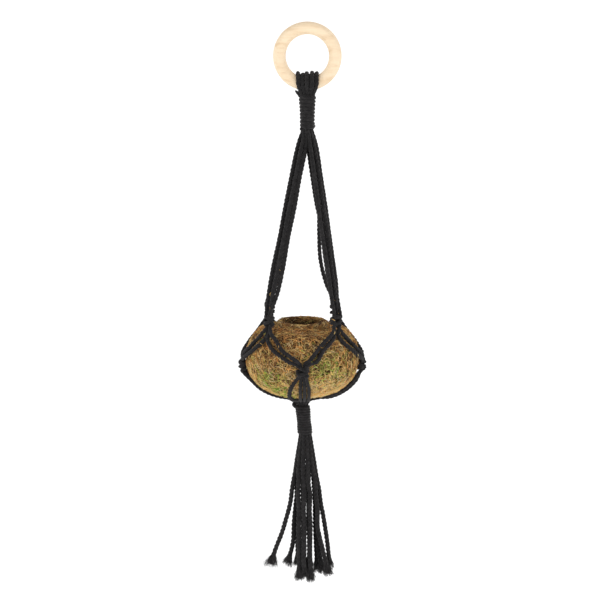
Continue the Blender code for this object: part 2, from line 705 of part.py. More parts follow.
def build_bowl(collection, empties):
    """The moss bowl: a squat ball with a soft collar and a straight pocket for the liner."""
    profile = bowl_collar() + bowl_outer_side()
    profile.append((0.0, -BOWL_DEPTH))
    profile.append((0.0, -BOWL_POCKET_DEPTH))
    profile.append((BOWL_MOUTH_RADIUS - POCKET_ROUND, -BOWL_POCKET_DEPTH))
    profile.append((BOWL_MOUTH_RADIUS, -BOWL_POCKET_DEPTH + POCKET_ROUND))
    profile.append((BOWL_MOUTH_RADIUS, -MOUTH_EDGE))
    mesh = turned_mesh("moss_bowl", profile)
    bowl = add_piece("moss_bowl", mesh, "bowl", "moss", collection, empties)
    add_screw(bowl, 32)


def build_liner(collection, empties):
    """The liner: a thin plastic cup with a flat floor, which lifts out through the mouth."""
    outer = BOWL_MOUTH_RADIUS - LINER_SIDE_GAP
    inner = outer - LINER_WALL
    floor = LINER_FLOOR_GAP
    top = floor + LINER_HEIGHT
    seat = floor + LINER_WALL
    profile = [(inner, top), (outer, top), (outer, floor + LINER_FOOT), (outer - LINER_FOOT, floor),
               (0.0, floor), (0.0, seat), (inner - LINER_ROUND, seat), (inner, seat + LINER_ROUND)]
    mesh = turned_mesh("liner_cup", profile)
    liner = add_piece("liner_cup", mesh, "liner", "plastic", collection, empties)
    add_screw(liner, 28)


def build_lower_wrap(collection, empties):
    """The lower wrap and the squeezed cords inside it, leaning as they hang."""
    lean = Euler((0.0, -TAIL_LEAN, 0.0))
    wrap_mesh = turned_mesh(
        "lower_wrap",
        wrap_profile(lambda share: WRAP_HOLE_RADIUS, LOWER_WRAP_LENGTH, LOWER_WRAP_TURNS))
    wrap_mesh.transform(Matrix.Translation((0.0, 0.0, -TAIL_GAP)))
    wrap = add_piece("lower_wrap", wrap_mesh, "tail", "cord", collection, empties)
    wrap.rotation_euler = lean
    add_screw(wrap, 18)
    core_radius = WRAP_HOLE_RADIUS - CORD_GAP
    core_mesh = turned_mesh("wrap_core", [
        (0.0, 0.0), (core_radius - CORE_EDGE, 0.0), (core_radius, -CORE_EDGE),
        (core_radius, CORE_EDGE - LOWER_WRAP_LENGTH),
        (core_radius - CORE_EDGE, -LOWER_WRAP_LENGTH),
        (0.0, -LOWER_WRAP_LENGTH)])
    core_mesh.transform(Matrix.Translation((0.0, 0.0, -TAIL_GAP)))
    core = add_piece("wrap_core", core_mesh, "tail", "cord", collection, empties)
    core.rotation_euler = lean
    add_screw(core, 16)


def tassel_top_centre():
    """The middle of the lower wrap's bottom face, with the gap below it."""
    length = TAIL_GAP + LOWER_WRAP_LENGTH + TASSEL_GAP
    offset = Vector((0.0, 0.0, -length))
    offset.rotate(Euler((0.0, -TAIL_LEAN, 0.0)))
    return Vector(PIVOTS["tail"]) + offset


def tassel_pivot(arm):
    """Where a quarter of the tassel swings out from."""
    return tassel_top_centre() + direction(ARM_ANGLES[arm]) * (OUTER_RING_FACTOR * WRAP_PITCH * 0.7)


def tassel_route(arm, place):
    top = tassel_top_centre()
    angle = ARM_ANGLES[arm]
    upper = top + packed_place(angle, place, TASSEL_TOP_CORD + CORD_GAP)
    knee = top + packed_place(angle, place, CORD_PITCH + CORD_GAP)
    knee.z -= TASSEL_SPREAD_DEPTH
    stations = [(upper, TASSEL_TOP_CORD), (knee, CORD_DIAMETER)]
    for x, y, depth in TASSEL_ROUTES[arm][place]:
        stations.append((Vector((x, y, top.z - depth)), CORD_DIAMETER))
    return smooth_route(stations, [2] + [3] + [2] * (len(stations) - 3))


def build_tassel(collection, empties):
    for arm in ARM_ANGLES:
        pivot_name = "tassel_" + arm
        pivot = tassel_pivot(arm)
        empty = bpy.data.objects.new(pivot_name + "_pivot", None)
        empty.empty_display_size = EMPTY_SIZE
        empty.location = pivot
        collection.objects.link(empty)
        empties[pivot_name] = empty
        for place in range(4):
            name = "tassel_%s_%d" % (arm, place + 1)
            curve = cord_curve(name, tassel_route(arm, place), pivot)
            add_piece(name, curve, pivot_name, "cord", collection, empties)


def build_planter():
    clear_scene()
    collection = bpy.data.collections.new("hanging_macrame_planter")
    bpy.context.scene.collection.children.link(collection)
    empties = make_pivots(collection)
    build_ring(collection, empties)
    build_main_cords(collection, empties)
    build_top_wrap(collection, empties)
    build_upper_knots(collection, empties)
    build_lower_knots(collection, empties)
    build_bowl(collection, empties)
    build_liner(collection, empties)
    build_lower_wrap(collection, empties)
    build_tassel(collection, empties)


build_planter()
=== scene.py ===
"""Looks of the hanging macrame planter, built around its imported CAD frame.

Metres, +Z up, the ring faces -Y. Twisted cotton cords, wound knots and wraps, frayed tassel ends,
a bowl of tangled dried moss with a plain liner, and a smooth wooden ring.
"""

import json
import math

import bpy
import numpy as np
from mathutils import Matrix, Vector


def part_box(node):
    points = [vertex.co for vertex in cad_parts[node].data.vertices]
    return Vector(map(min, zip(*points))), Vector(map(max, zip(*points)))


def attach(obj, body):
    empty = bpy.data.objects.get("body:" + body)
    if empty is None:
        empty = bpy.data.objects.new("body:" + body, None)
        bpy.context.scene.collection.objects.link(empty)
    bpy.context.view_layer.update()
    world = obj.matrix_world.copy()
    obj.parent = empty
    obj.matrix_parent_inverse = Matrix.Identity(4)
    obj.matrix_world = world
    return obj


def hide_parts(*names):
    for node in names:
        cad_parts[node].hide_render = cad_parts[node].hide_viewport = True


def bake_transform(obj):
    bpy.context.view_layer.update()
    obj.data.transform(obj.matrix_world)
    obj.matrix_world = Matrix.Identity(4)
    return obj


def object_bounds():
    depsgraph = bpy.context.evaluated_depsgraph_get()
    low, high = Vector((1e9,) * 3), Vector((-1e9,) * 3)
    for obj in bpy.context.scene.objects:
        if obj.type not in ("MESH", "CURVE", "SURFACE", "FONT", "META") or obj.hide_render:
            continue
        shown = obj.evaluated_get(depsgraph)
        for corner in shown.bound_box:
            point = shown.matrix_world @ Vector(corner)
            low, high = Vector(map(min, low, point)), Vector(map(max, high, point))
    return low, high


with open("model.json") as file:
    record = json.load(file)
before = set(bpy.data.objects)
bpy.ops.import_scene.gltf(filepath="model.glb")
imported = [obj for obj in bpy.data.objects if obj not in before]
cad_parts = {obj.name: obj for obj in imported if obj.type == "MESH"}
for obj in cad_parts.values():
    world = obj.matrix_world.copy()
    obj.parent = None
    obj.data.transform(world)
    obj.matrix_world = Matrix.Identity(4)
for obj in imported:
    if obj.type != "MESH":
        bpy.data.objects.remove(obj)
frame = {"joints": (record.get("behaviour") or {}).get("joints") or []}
CAD_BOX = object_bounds()

# ---- sizes read from the frame ----


def middle_of(node):
    low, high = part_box(node)
    return (low + high) / 2.0


def joint_place(name):
    return Vector(next(joint["pos_m"] for joint in frame["joints"] if joint["name"] == name))


RING_LOW, RING_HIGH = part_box("hanging_ring")
RING_OUTER = (RING_HIGH.x - RING_LOW.x) / 2.0
RING_TUBE = (RING_HIGH.y - RING_LOW.y) / 2.0
RING_MIDDLE = RING_OUTER - RING_TUBE
RING_HEIGHT = (RING_HIGH.z + RING_LOW.z) / 2.0

BOWL_LOW, BOWL_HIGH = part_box("moss_bowl")
BOWL_X = (BOWL_LOW.x + BOWL_HIGH.x) / 2.0
BOWL_RADIUS = (BOWL_HIGH.x - BOWL_LOW.x) / 2.0
BOWL_RIM = BOWL_HIGH.z
BOWL_BOTTOM = BOWL_LOW.z
BOWL_DEPTH = BOWL_RIM - BOWL_BOTTOM

LINER_LOW, LINER_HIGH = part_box("liner_cup")
LINER_RADIUS = (LINER_HIGH.x - LINER_LOW.x) / 2.0

TAIL_PIVOT = joint_place("tail_swing")

# ---- sizes of the looks, in metres ----

CORD = 0.0045                   # a cotton cord where nothing squeezes it
CORD_LAY = 0.0135               # one full turn of its three plies
ROPE_STEP = 0.0008              # between the rings of a cord's mesh
ROPE_SIDES = 18
PLY_RADIUS = 0.56               # of a ply, as a share of the cord's radius
WRAP_PLY = 0.74                 # the same, where a wrap pulls the cord round
HAIRS_PER_METRE = 1500
HAIR_LENGTH = (0.0008, 0.0019)
HAIR_THICKNESS = 0.00006

ARM_ANGLES = {"front_left": 225.0, "front_right": 315.0, "back_right": 45.0, "back_left": 135.0}
KNOT_ANGLES = {"front": 270.0, "right": 0.0, "back": 90.0, "left": 180.0}
ARM_SIDE_PITCH = 0.0032         # step between an arm's cords, along the ribbon
ARM_STAGGER = 0.0034            # step between an arm's cords, in and out
TOP_WRAP_TOP = -0.0605
TOP_WRAP_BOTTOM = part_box("top_wrap")[0].z
TOP_WRAP_TURNS = 9
LOWER_WRAP_TURNS = 10.5
TAIL_GAP = 0.0022
LOWER_WRAP_LENGTH = 0.032
TAIL_LEAN = math.radians(5.0)
TASSEL_GAP = 0.0022
TASSEL_SPREAD_DEPTH = 0.03
TASSEL_HIDDEN = 0.01            # how far the free ends run up inside the lower wrap
TASSEL_MOUTH_PITCH = 0.0028     # between them where they leave it
SQUEEZED_PITCH = 0.0024         # between the sixteen cords inside a wrap
OUTER_RING_FACTOR = 0.5 / math.sin(math.radians(15.0))
INNER_RING_FACTOR = 0.5 / math.sin(math.radians(45.0))

BELLY_SHARE = 0.481             # of the bowl's depth, from the rim down to its widest place
MOUTH_RADIUS = LINER_RADIUS + 0.0009
COLLAR_RADIUS = MOUTH_RADIUS + 0.005
POCKET_FLOOR = LINER_LOW.z - 0.0006
MOSS_SINK = 0.0004              # the moss body lies this far inside the CAD bowl's side
TASSEL_CORD = 0.0052            # the free ends have opened up a little
TASSEL_WAVE = 0.0009            # how far a free end strays from its route
CORD_REST = 0.0009              # the gap that the cords keep from the CAD bowl's side

# The tassel's strands below the wrap, as listed points: x, y, and the depth below the wrap.
TASSEL_ROUTES = {
    "front_left": (
        ((-0.016, -0.004, 0.056), (-0.0195, -0.0045, 0.078), (-0.027, -0.005, 0.104),
         (-0.0385, -0.005, 0.137)),
        ((-0.0035, -0.0035, 0.06), (-0.004, -0.004, 0.095), (-0.004, -0.0045, 0.146)),
        ((-0.0095, -0.0105, 0.06), (-0.009, -0.012, 0.095), (-0.0085, -0.013, 0.15)),
        ((-0.003, -0.0115, 0.06), (-0.0025, -0.013, 0.095), (-0.0025, -0.015, 0.147)),
    ),
    "front_right": (
        ((0.003, -0.0115, 0.06), (0.0035, -0.013, 0.095), (0.004, -0.0145, 0.151)),
        ((0.002, -0.0035, 0.06), (0.0025, -0.004, 0.095), (0.003, -0.0045, 0.148)),
        ((0.009, -0.0095, 0.06), (0.011, -0.0105, 0.095), (0.0225, -0.012, 0.145)),
        ((0.0125, -0.0035, 0.056), (0.017, -0.0035, 0.085), (0.024, -0.004, 0.139)),
    ),
    "back_right": (
        ((0.01, 0.003, 0.06), (0.011, 0.0035, 0.095), (0.016, 0.004, 0.147)),
        ((0.002, 0.003, 0.06), (0.0025, 0.0035, 0.095), (0.003, 0.004, 0.143)),
        ((0.0075, 0.0095, 0.06), (0.0085, 0.011, 0.095), (0.011, 0.013, 0.149)),
        ((0.001, 0.0105, 0.06), (0.0015, 0.0125, 0.095), (0.002, 0.015, 0.145)),
    ),
    "back_left": (
        ((-0.005, 0.0105, 0.06), (-0.0045, 0.0125, 0.095), (-0.004, 0.014, 0.148)),
        ((-0.004, 0.0035, 0.06), (-0.004, 0.0035, 0.095), (-0.0035, 0.004, 0.144)),
        ((-0.0105, 0.0085, 0.06), (-0.0105, 0.0105, 0.095), (-0.0095, 0.0125, 0.142)),
        ((-0.011, 0.002, 0.06), (-0.014, 0.003, 0.095), (-0.0205, 0.004, 0.139)),
    ),
}

# Which arm and place each end of a main cord goes to, in front of the ring and behind it.
LOOP_PLACES = (
    (("front_left", 0), ("back_left", 3)),
    (("front_left", 2), ("back_left", 2)),
    (("front_left", 1), ("back_left", 1)),
    (("front_left", 3), ("back_left", 0)),
    (("front_right", 0), ("back_right", 3)),
    (("front_right", 1), ("back_right", 1)),
    (("front_right", 2), ("back_right", 2)),
    (("front_right", 3), ("back_right", 0)),
)

# The net's cords over the bowl, for each level: the share of the way down from the upper knot,
# the share of the way round for the cord nearer the lower knot and for the other, and how far in
# or out the cord still is from its neighbour.
NET_LEVELS = (
    (0.17, 0.16, 0.05, 0.0013),
    (0.34, 0.33, 0.065, 0.0),
    (0.58, 0.54, 0.3, 0.0),
)

# The same for the pair that is drawn tighter, from the front right arm to the front knot.
TIGHT_LEVELS = (
    (0.17, 0.21, 0.075, 0.0013),
    (0.34, 0.42, 0.22, 0.0),
    (0.58, 0.67, 0.52, 0.0),
)

# Down an arm, from the top wrap to the upper knot: the share of the way, and how far spread.
ARM_LEVELS = ((0.045, 0.8), (0.12, 0.97), (0.26, 1.0), (0.42, 1.0), (0.58, 1.0), (0.74, 1.0),
              (0.89, 0.96))
# How far to the side some cords of the arms hang loose.
ARM_LOOSE = {("back_right", 1): -0.0085, ("back_right", 3): 0.0034, ("front_right", 3): 0.0022}
ARM_WANDER = 0.00028
UPPER_KNOT_REACH = 0.0065       # from an upper knot's middle to where its cords leave it
LOWER_KNOT_REACH = 0.005
UPPER_KNOT_CORD = 0.0036
LOWER_KNOT_CORD = 0.0037
FRONT_KNOT_HALF = (0.0049, 0.004, 0.0068)
BACK_KNOT_HALF = (0.0041, 0.0037, 0.0068)
LOWER_KNOT_HALF = (0.0052, 0.0043, 0.006)
KNOT_PRESS = 0.0017             # how far the lower knots press into the moss
STACK_STEP = 0.0024             # between the two layers of the right knot's lower cords
# Into a lower knot, for the cords that lead the way round and for the others: how far to the
# side of the knot, how far above it, and thickness.
LEAD_ENDS = ((0.0085, 0.0082, 0.98), (0.003, 0.0038, 0.8))
TRAIL_ENDS = ((0.015, 0.006, 0.96), (0.0074, 0.003, 0.8))
# Under the bowl: the share of its radius, thickness, and how far the slack front cord bows.
BASE_LEVELS = ((0.93, 1.0, -0.005), (0.73, 1.0, -0.007), (0.48, 1.0, -0.004), (0.26, 0.94, 0.0))
BASE_PITCH = 0.96               # between those cords, in cords
FRONT_BASE_WIDTH = 0.86         # the front knot's tight cords are thinner
# Below it: how far out, the step between a knot's cords, how far down, and width.
NECK_LEVELS = ((0.0088, 0.0031, 0.004, 0.0036), (0.0064, 0.0027, 0.0066, 0.0032))

# Where each folded cord sits on the ring's bottom bar, and how far it is lifted off the wood.
LOOP_SEATS = ((-0.0096, 0.0002), (-0.0066, -0.001), (-0.0046, 0.0004), (-0.0006, 0.0022),
              (0.0022, 0.0), (0.0048, 0.0022), (0.0074, -0.0006), (0.0096, 0.0))

# A loop's legs, from inside the wrap up: the share of its place across, the share of its depth,
# how much deeper, how far above the wrap's top, and the share of its width.
LOOP_LEGS = ((0.5, 0.55, 0.0, -0.01, 0.75), (0.66, 1.0, 0.0, 0.0005, 0.86),
             (0.84, 1.0, 0.0022, 0.0052, 1.0))
LOOP_ARC = (92.0, 62.0, 32.0)   # degrees round the bar, from its top

# The wraps: the cord's width and the coil's radius, then the cut ends that show.
WRAP_HAIRS = 900
TOP_WRAP_CORD = 0.0043
TOP_WRAP_RADIUS = 0.0057
TOP_WRAP_FLARE = 0.0015         # how much wider the coil is at its top
TOP_WRAP_TAIL = ((-0.0126, -0.004, 0.0036, 0.0012), (-0.0106, -0.0042, 0.0022, 0.003))
TOP_WRAP_KNOB = ((0.002, 0.0042, -0.0004, 1.0), (0.0098, 0.005, 0.0008, 0.94),
                 (0.0122, 0.002, 0.0036, 0.8))
LOWER_WRAP_CORD = 0.0034
LOWER_WRAP_RADIUS = 0.0061
LOWER_WRAP_KNOB = ((-0.004, 0.005, -0.0004, 1.0), (-0.0072, 0.003, 0.0, 1.35),
                   (-0.0086, -0.0006, -0.0008, 1.5), (-0.0074, -0.0034, -0.0022, 1.2))

RING_STEPS = 240
RING_SIDES = 72
# The liner: how far in from its side, and below its rim, above its foot or above its floor.
LINER_WALL = 0.0012
LINER_RIM = ((LINER_WALL, 0.0), (0.0008, 0.0), (0.0002, 0.0003), (0.0, 0.0009), (0.0, 0.0024),
             (0.0004, 0.0028))
LINER_FOOT = ((0.0004, 0.0022), (0.001, 0.0007), (0.0022, 0.0))
LINER_FLOOR = ((0.002, 0.0), (0.0006, 0.0006), (0.0, 0.0018))
AXIS_GAP = 0.0002
# The mouth's and the collar's edges: how far out, and how far below the rim.
MOUTH_EDGE = ((-0.0002, 0.011), (-0.0002, 0.003), (0.0006, 0.0008))
COLLAR_EDGE = ((-0.0012, 0.0006), (0.0, 0.0026), (0.0008, 0.005), (0.006, 0.0072))
BODY_MOUTH = ((0.0, 0.03), (0.0, 0.012), (0.0002, 0.0045), (0.0012, 0.0016))

FIBRE_POINTS = 9
FRAY_YARNS = 190
COLLAR_STRANDS = 2300
STRAY_HAIRS = 90
STRAY_BAND = (0.66, 0.8)       # shares of the collar's side where stray hairs stand up
STRAND_TAPER = np.array([0.45, 0.8, 1.0, 1.0, 1.0, 1.0, 0.9, 0.7, 0.35])
# Layers of moss: count, length, lift, arch, curl, thickness and brightness. The brightness is painted
# light: the lower layers are darkened as painted shade in the gaps between strands, and the upper ones
# are lightened as painted highlight.
MOSS_LAYERS = (
    ("moss_under", 3200, (0.008, 0.02), (-0.0002, 0.0003), (0.0, 0.0004), 1.5,
     (0.0003, 0.0005), 0.55),
    ("moss_middle", 2800, (0.007, 0.017), (0.0, 0.0006), (0.0002, 0.0009), 2.1,
     (0.00024, 0.00042), 1.1),
    ("moss_upper", 2800, (0.006, 0.015), (0.0002, 0.0009), (0.0002, 0.001), 2.3,
     (0.00022, 0.00038), 1.45),
    ("moss_over", 3000, (0.005, 0.013), (0.0004, 0.001), (0.0004, 0.0014), 2.6,
     (0.00018, 0.00034), 1.95),
)
# Where bits of moss cling to the net: the arm, the cord's place in it, and how many.
CRUMB_PLACES = (("front_right", 1, 5), ("front_right", 3, 5), ("front_left", 2, 4),
                ("front_left", 3, 4), ("back_right", 0, 7), ("back_right", 2, 5),
                ("back_left", 1, 7), ("back_left", 3, 5), ("front_left", 0, 5))

# A square knot's two working cords round its two straight ones, as listed points: across,
# outward and up from the knot's middle, in half widths, half depths and half heights.
OVER_CORD = (
    (-0.62, 0.35, 0.86), (-0.1, 1.0, 0.62), (0.62, 0.86, 0.4), (1.0, 0.0, 0.16),
    (0.72, 0.72, -0.1), (0.0, 1.04, -0.3), (-0.72, 0.76, -0.52), (-0.8, 0.1, -0.86),
)
UNDER_CORD = (
    (0.74, 0.8, 0.8), (1.02, 0.1, 0.52), (0.5, -0.92, 0.34), (-0.5, -0.92, 0.26),
    (-1.02, -0.1, 0.1), (-0.86, 0.62, -0.14), (-0.98, -0.2, -0.34), (-0.3, -0.94, -0.46),
    (0.55, -0.86, -0.56), (0.98, 0.12, -0.66), (0.72, 0.52, -0.92),
)


# ---- curves ----

def direction(angle):
    """Unit vector in the ground plane at an angle in degrees from +X."""
    turn = math.radians(angle)
    return Vector((math.cos(turn), math.sin(turn), 0.0))


def follow(stations, step):
    """Points and widths at even steps along a Catmull-Rom curve through (point, width) stations."""
    knots = np.array([list(point) + [width] for point, width in stations], float)
    padded = np.vstack([2.0 * knots[0] - knots[1], knots, 2.0 * knots[-1] - knots[-2]])
    t = np.linspace(0.0, 1.0, 24, endpoint=False)[:, None]
    pieces = []
    for index in range(len(knots) - 1):
        before, start, end, after = padded[index:index + 4]
        pieces.append(0.5 * (
            2.0 * start + (end - before) * t
            + (2.0 * before - 5.0 * start + 4.0 * end - after) * t ** 2
            + (3.0 * start - before - 3.0 * end + after) * t ** 3))
    dense = np.vstack(pieces + [knots[-1:]])
    run = np.concatenate([[0.0], np.cumsum(np.linalg.norm(np.diff(dense[:, :3], axis=0), axis=1))])
    count = max(4, int(round(run[-1] / step)) + 1)
    even = np.linspace(0.0, run[-1], count)
    columns = [np.interp(even, run, dense[:, column]) for column in range(4)]
    return np.stack(columns[:3], axis=1), columns[3], even


def carried_frame(path):
    """Tangents, and two normals that are carried along a path without twisting."""
    tangent = np.gradient(path, axis=0)
    tangent /= np.linalg.norm(tangent, axis=1)[:, None]
    seed = np.eye(3)[int(np.argmin(np.abs(tangent[0])))]
    normal = np.empty_like(tangent)
    current = seed
    for index, along in enumerate(tangent):
        current = current - along * float(current @ along)
        current = current / math.sqrt(float(current @ current))
        normal[index] = current
    return tangent, normal, np.cross(tangent, normal)


# ---- meshes ----

def make_object(name, vertices, faces, material, uvs=None, colours=None):
    """An object from a vertex array and a list of face arrays of equal corner counts."""
    mesh = bpy.data.meshes.new(name)
    corners = np.concatenate([group.ravel() for group in faces])
    counts = np.concatenate([np.full(len(group), group.shape[1]) for group in faces])
    starts = np.concatenate([[0], np.cumsum(counts)[:-1]])
    mesh.vertices.add(len(vertices))
    mesh.vertices.foreach_set("co", np.asarray(vertices, np.float32).ravel())
    mesh.loops.add(len(corners))
    mesh.loops.foreach_set("vertex_index", corners.astype(np.int32))
    mesh.polygons.add(len(counts))
    mesh.polygons.foreach_set("loop_start", starts.astype(np.int32))
    mesh.update(calc_edges=True)
    mesh.shade_smooth()
    if uvs is not None:
        layer = mesh.uv_layers.new(name="UVMap")
        layer.data.foreach_set("uv", np.asarray(uvs, np.float32).ravel())
    if colours is not None:
        layer = mesh.color_attributes.new("strand_colour", "FLOAT_COLOR", "POINT")
        layer.data.foreach_set("color", np.asarray(colours, np.float32).ravel())
    mesh.materials.append(material)
    made = bpy.data.objects.new(name, mesh)
    bpy.context.scene.collection.objects.link(made)
    return made


def tube_faces(rings, sides):
    """Quads between neighbouring rings of vertices, and the two end faces."""
    ring = np.arange(rings - 1)[:, None] * sides
    side = np.arange(sides)[None, :]
    following = (side + 1) % sides
    quads = np.stack([ring + side, ring + following,
                      ring + sides + following, ring + sides + side], axis=-1).reshape(-1, 4)
    first = np.arange(sides)[::-1][None, :]
    last = (np.arange(sides) + (rings - 1) * sides)[None, :]
    return quads, np.vstack([first, last])


def ply_section(turn, ply):
    """Share of a cord's radius at an angle from a ply's middle: three round plies."""
    gap = np.abs((turn + math.pi / 3.0) % (math.tau / 3.0) - math.pi / 3.0)
    out = 1.0 - ply
    return out * np.cos(gap) + np.sqrt(np.maximum(ply ** 2 - (out * np.sin(gap)) ** 2, 0.0))


def hair_parts(path, width, frame_axes, along, rng, density):
    """Fine cotton fibres that stand off a cord: tapered three-sided spikes."""
    tangent, normal, binormal = frame_axes
    count = max(1, int(along[-1] * density))
    index = rng.integers(1, len(path) - 1, count)
    turn = rng.uniform(0.0, math.tau, count)
    out = normal[index] * np.cos(turn)[:, None] + binormal[index] * np.sin(turn)[:, None]
    root = path[index] + out * (width[index] * 0.4)[:, None]
    lean = rng.normal(0.0, 0.9, (count, 1))
    side = np.cross(tangent[index], out)
    heading = out + tangent[index] * lean + side * rng.normal(0.0, 0.7, (count, 1))
    heading /= np.linalg.norm(heading, axis=1)[:, None]
    length = rng.uniform(*HAIR_LENGTH, count)[:, None]
    bend = root + heading * length * 0.55
    tip = bend + (heading + tangent[index] * rng.normal(0.0, 0.8, (count, 1))) * length * 0.35
    base = []
    for corner in range(3):
        angle = math.tau * corner / 3.0
        base.append((tangent[index] * math.cos(angle) + side * math.sin(angle))
                    * HAIR_THICKNESS)
    vertices = np.concatenate(
        [np.stack([root + offset for offset in base], axis=1),
         np.stack([bend + offset * 0.7 for offset in base], axis=1), tip[:, None, :]], axis=1)
    start = np.arange(count)[:, None] * 7
    quads = np.concatenate([start + np.array([[a, (a + 1) % 3, (a + 1) % 3 + 3, a + 3]])
                            for a in range(3)])
    triangles = np.concatenate([start + np.array([[a + 3, (a + 1) % 3 + 3, 6]]) for a in range(3)]
                               + [start + np.array([[2, 1, 0]])])
    return vertices.reshape(-1, 3), quads, triangles


def make_rope(name, stations, material, seed, ply=PLY_RADIUS, hairs=HAIRS_PER_METRE):
    """A three-ply twisted cord along (point, width) stations, with fine fibres standing off it."""
    rng = np.random.default_rng(seed)
    path, width, along = follow(stations, ROPE_STEP)
    axes = carried_frame(path)
    _, normal, binormal = axes
    turn = np.arange(ROPE_SIDES) * (math.tau / ROPE_SIDES)
    twist = math.tau * along / CORD_LAY + rng.uniform(0.0, math.tau)
    local = turn[None, :] - twist[:, None]
    beat = math.tau * along / rng.uniform(0.011, 0.017) + rng.uniform(0.0, 6.0)
    uneven = 1.0 + 0.025 * np.sin(beat) + 0.018 * np.sin(2.7 * beat)
    reach = ply_section(local, ply) * (width * 0.5 * uneven)[:, None]
    ring = (path[:, None, :] + (reach * np.cos(turn))[..., None] * normal[:, None, :]
            + (reach * np.sin(turn))[..., None] * binormal[:, None, :])
    quads, caps = tube_faces(len(path), ROPE_SIDES)
    vertices = ring.reshape(-1, 3)
    spikes, spike_quads, spike_triangles = hair_parts(path, width, axes, along, rng, hairs)
    offset = len(vertices)
    side = np.arange(ROPE_SIDES)
    u_low = (side[None, :] / ROPE_SIDES - (twist / (math.tau))[:-1, None])
    u_high = (side[None, :] / ROPE_SIDES - (twist / (math.tau))[1:, None])
    v_low = np.repeat(along[:-1, None], ROPE_SIDES, axis=1)
    v_high = np.repeat(along[1:, None], ROPE_SIDES, axis=1)
    step = 1.0 / ROPE_SIDES
    quad_uvs = np.stack([np.stack([u_low, v_low], -1), np.stack([u_low + step, v_low], -1),
                         np.stack([u_high + step, v_high], -1), np.stack([u_high, v_high], -1)],
                        axis=2).reshape(-1, 2)
    rest = caps.size + spike_quads.size + spike_triangles.size
    uvs = np.vstack([quad_uvs, np.zeros((rest, 2))])
    made = make_object(name, np.vstack([vertices, spikes]),
                       [quads, caps, spike_quads + offset, spike_triangles + offset],
                       material, uvs=uvs)
    return made, path


def make_fibres(name, paths, radii, material, colours):
    """Many thin three-sided fibres in one mesh: paths is (count, points, 3), radii (count, points)."""
    count, points, _ = paths.shape
    tangent = np.gradient(paths, axis=1)
    tangent /= np.maximum(np.linalg.norm(tangent, axis=2, keepdims=True), 1e-9)
    seed = np.where(np.abs(tangent[..., 2:3]) < 0.8, np.array([0.0, 0.0, 1.0]),
                    np.array([1.0, 0.0, 0.0]))
    normal = np.cross(tangent, seed)
    normal /= np.maximum(np.linalg.norm(normal, axis=2, keepdims=True), 1e-9)
    binormal = np.cross(tangent, normal)
    rings = []
    for corner in range(3):
        angle = math.tau * corner / 3.0
        rings.append(paths + radii[..., None] * (normal * math.cos(angle)
                                                 + binormal * math.sin(angle)))
    vertices = np.stack(rings, axis=2).reshape(-1, 3)
    quads, caps = tube_faces(points, 3)
    start = np.arange(count)[:, None, None] * (points * 3)
    all_quads = (quads[None] + start).reshape(-1, 4)
    all_caps = (caps[None] + start).reshape(-1, 3)
    shades = np.repeat(colours, points * 3, axis=0)
    shades = np.hstack([shades, np.ones((len(shades), 1))])
    made = make_object(name, vertices, [all_quads, all_caps], material, colours=shades)
    return made


def wrapped_quads(rings, points):
    """Quads over a grid of vertices that closes on itself both ways."""
    ring = np.arange(rings)[:, None]
    point = np.arange(points)[None, :]
    next_ring = (ring + 1) % rings
    next_point = (point + 1) % points
    return np.stack([ring * points + point, ring * points + next_point,
                     next_ring * points + next_point, next_ring * points + point],
                    axis=-1).reshape(-1, 4)


def turned_object(name, profile, steps, material, centre):
    """A closed solid of revolution from a closed profile of (radius, height)."""
    outline = np.array(profile, float)
    turn = np.arange(steps) * (math.tau / steps)
    rings = np.stack([outline[:, 0][None, :] * np.cos(turn)[:, None] + centre[0],
                      outline[:, 0][None, :] * np.sin(turn)[:, None] + centre[1],
                      np.repeat(outline[:, 1][None, :] + centre[2], steps, axis=0)], axis=-1)
    quads = wrapped_quads(steps, len(outline))
    made = make_object(name, rings.reshape(-1, 3), [quads], material)
    return made


# ---- materials ----

class NodeBook:
    """A material's node tree, with short calls to add and join nodes."""

    def __init__(self, name, **finish):
        self.material = bpy.data.materials.new(name)
        self.material.use_nodes = True
        self.tree = self.material.node_tree
        self.shader = self.set_values(self.tree.nodes["Principled BSDF"], finish)

    def set_values(self, node, values):
        for key, value in values.items():
            node.inputs[key.replace("_", " ")].default_value = value
        return node

    def add(self, kind, **inputs):
        return self.set_values(self.tree.nodes.new(kind), inputs)

    def join(self, source, node, socket):
        self.tree.links.new(source, node.inputs[socket])

    def wear(self, socket, source):
        """Joins a source to one of the shader's own sockets."""
        self.join(source, self.shader, socket)

    def place(self):
        return self.add("ShaderNodeTexCoord").outputs["Object"]

    def mapped(self, source, **inputs):
        node = self.add("ShaderNodeMapping", **inputs)
        self.join(source, node, "Vector")
        return node.outputs["Vector"]

    def noise(self, source, **inputs):
        node = self.add("ShaderNodeTexNoise", **inputs)
        self.join(source, node, "Vector")
        return node.outputs["Fac"]

    def between(self, source, low, high):
        node = self.add("ShaderNodeMapRange", To_Min=low, To_Max=high)
        self.join(source, node, "Value")
        return node.outputs["Result"]

    def multiply(self, colour, shade, share):
        node = self.tree.nodes.new("ShaderNodeMix")
        node.data_type = "RGBA"
        node.blend_type = "MULTIPLY"
        node.inputs["Factor"].default_value = share
        self.join(colour, node, "A")
        self.join(shade, node, "B")
        return node.outputs["Result"]

    def ramp(self, source, stops):
        node = self.tree.nodes.new("ShaderNodeValToRGB")
        while len(node.color_ramp.elements) < len(stops):
            node.color_ramp.elements.new(0.5)
        for element, (place, colour) in zip(node.color_ramp.elements, stops):
            element.position = place
            element.color = (*colour, 1.0)
        self.join(source, node, "Fac")
        return node.outputs["Color"]

    def bump(self, source, strength, distance, normal=None):
        node = self.add("ShaderNodeBump", Strength=strength, Distance=distance)
        self.join(source, node, "Height")
        if normal is not None:
            self.join(normal, node, "Normal")
        return node.outputs["Normal"]


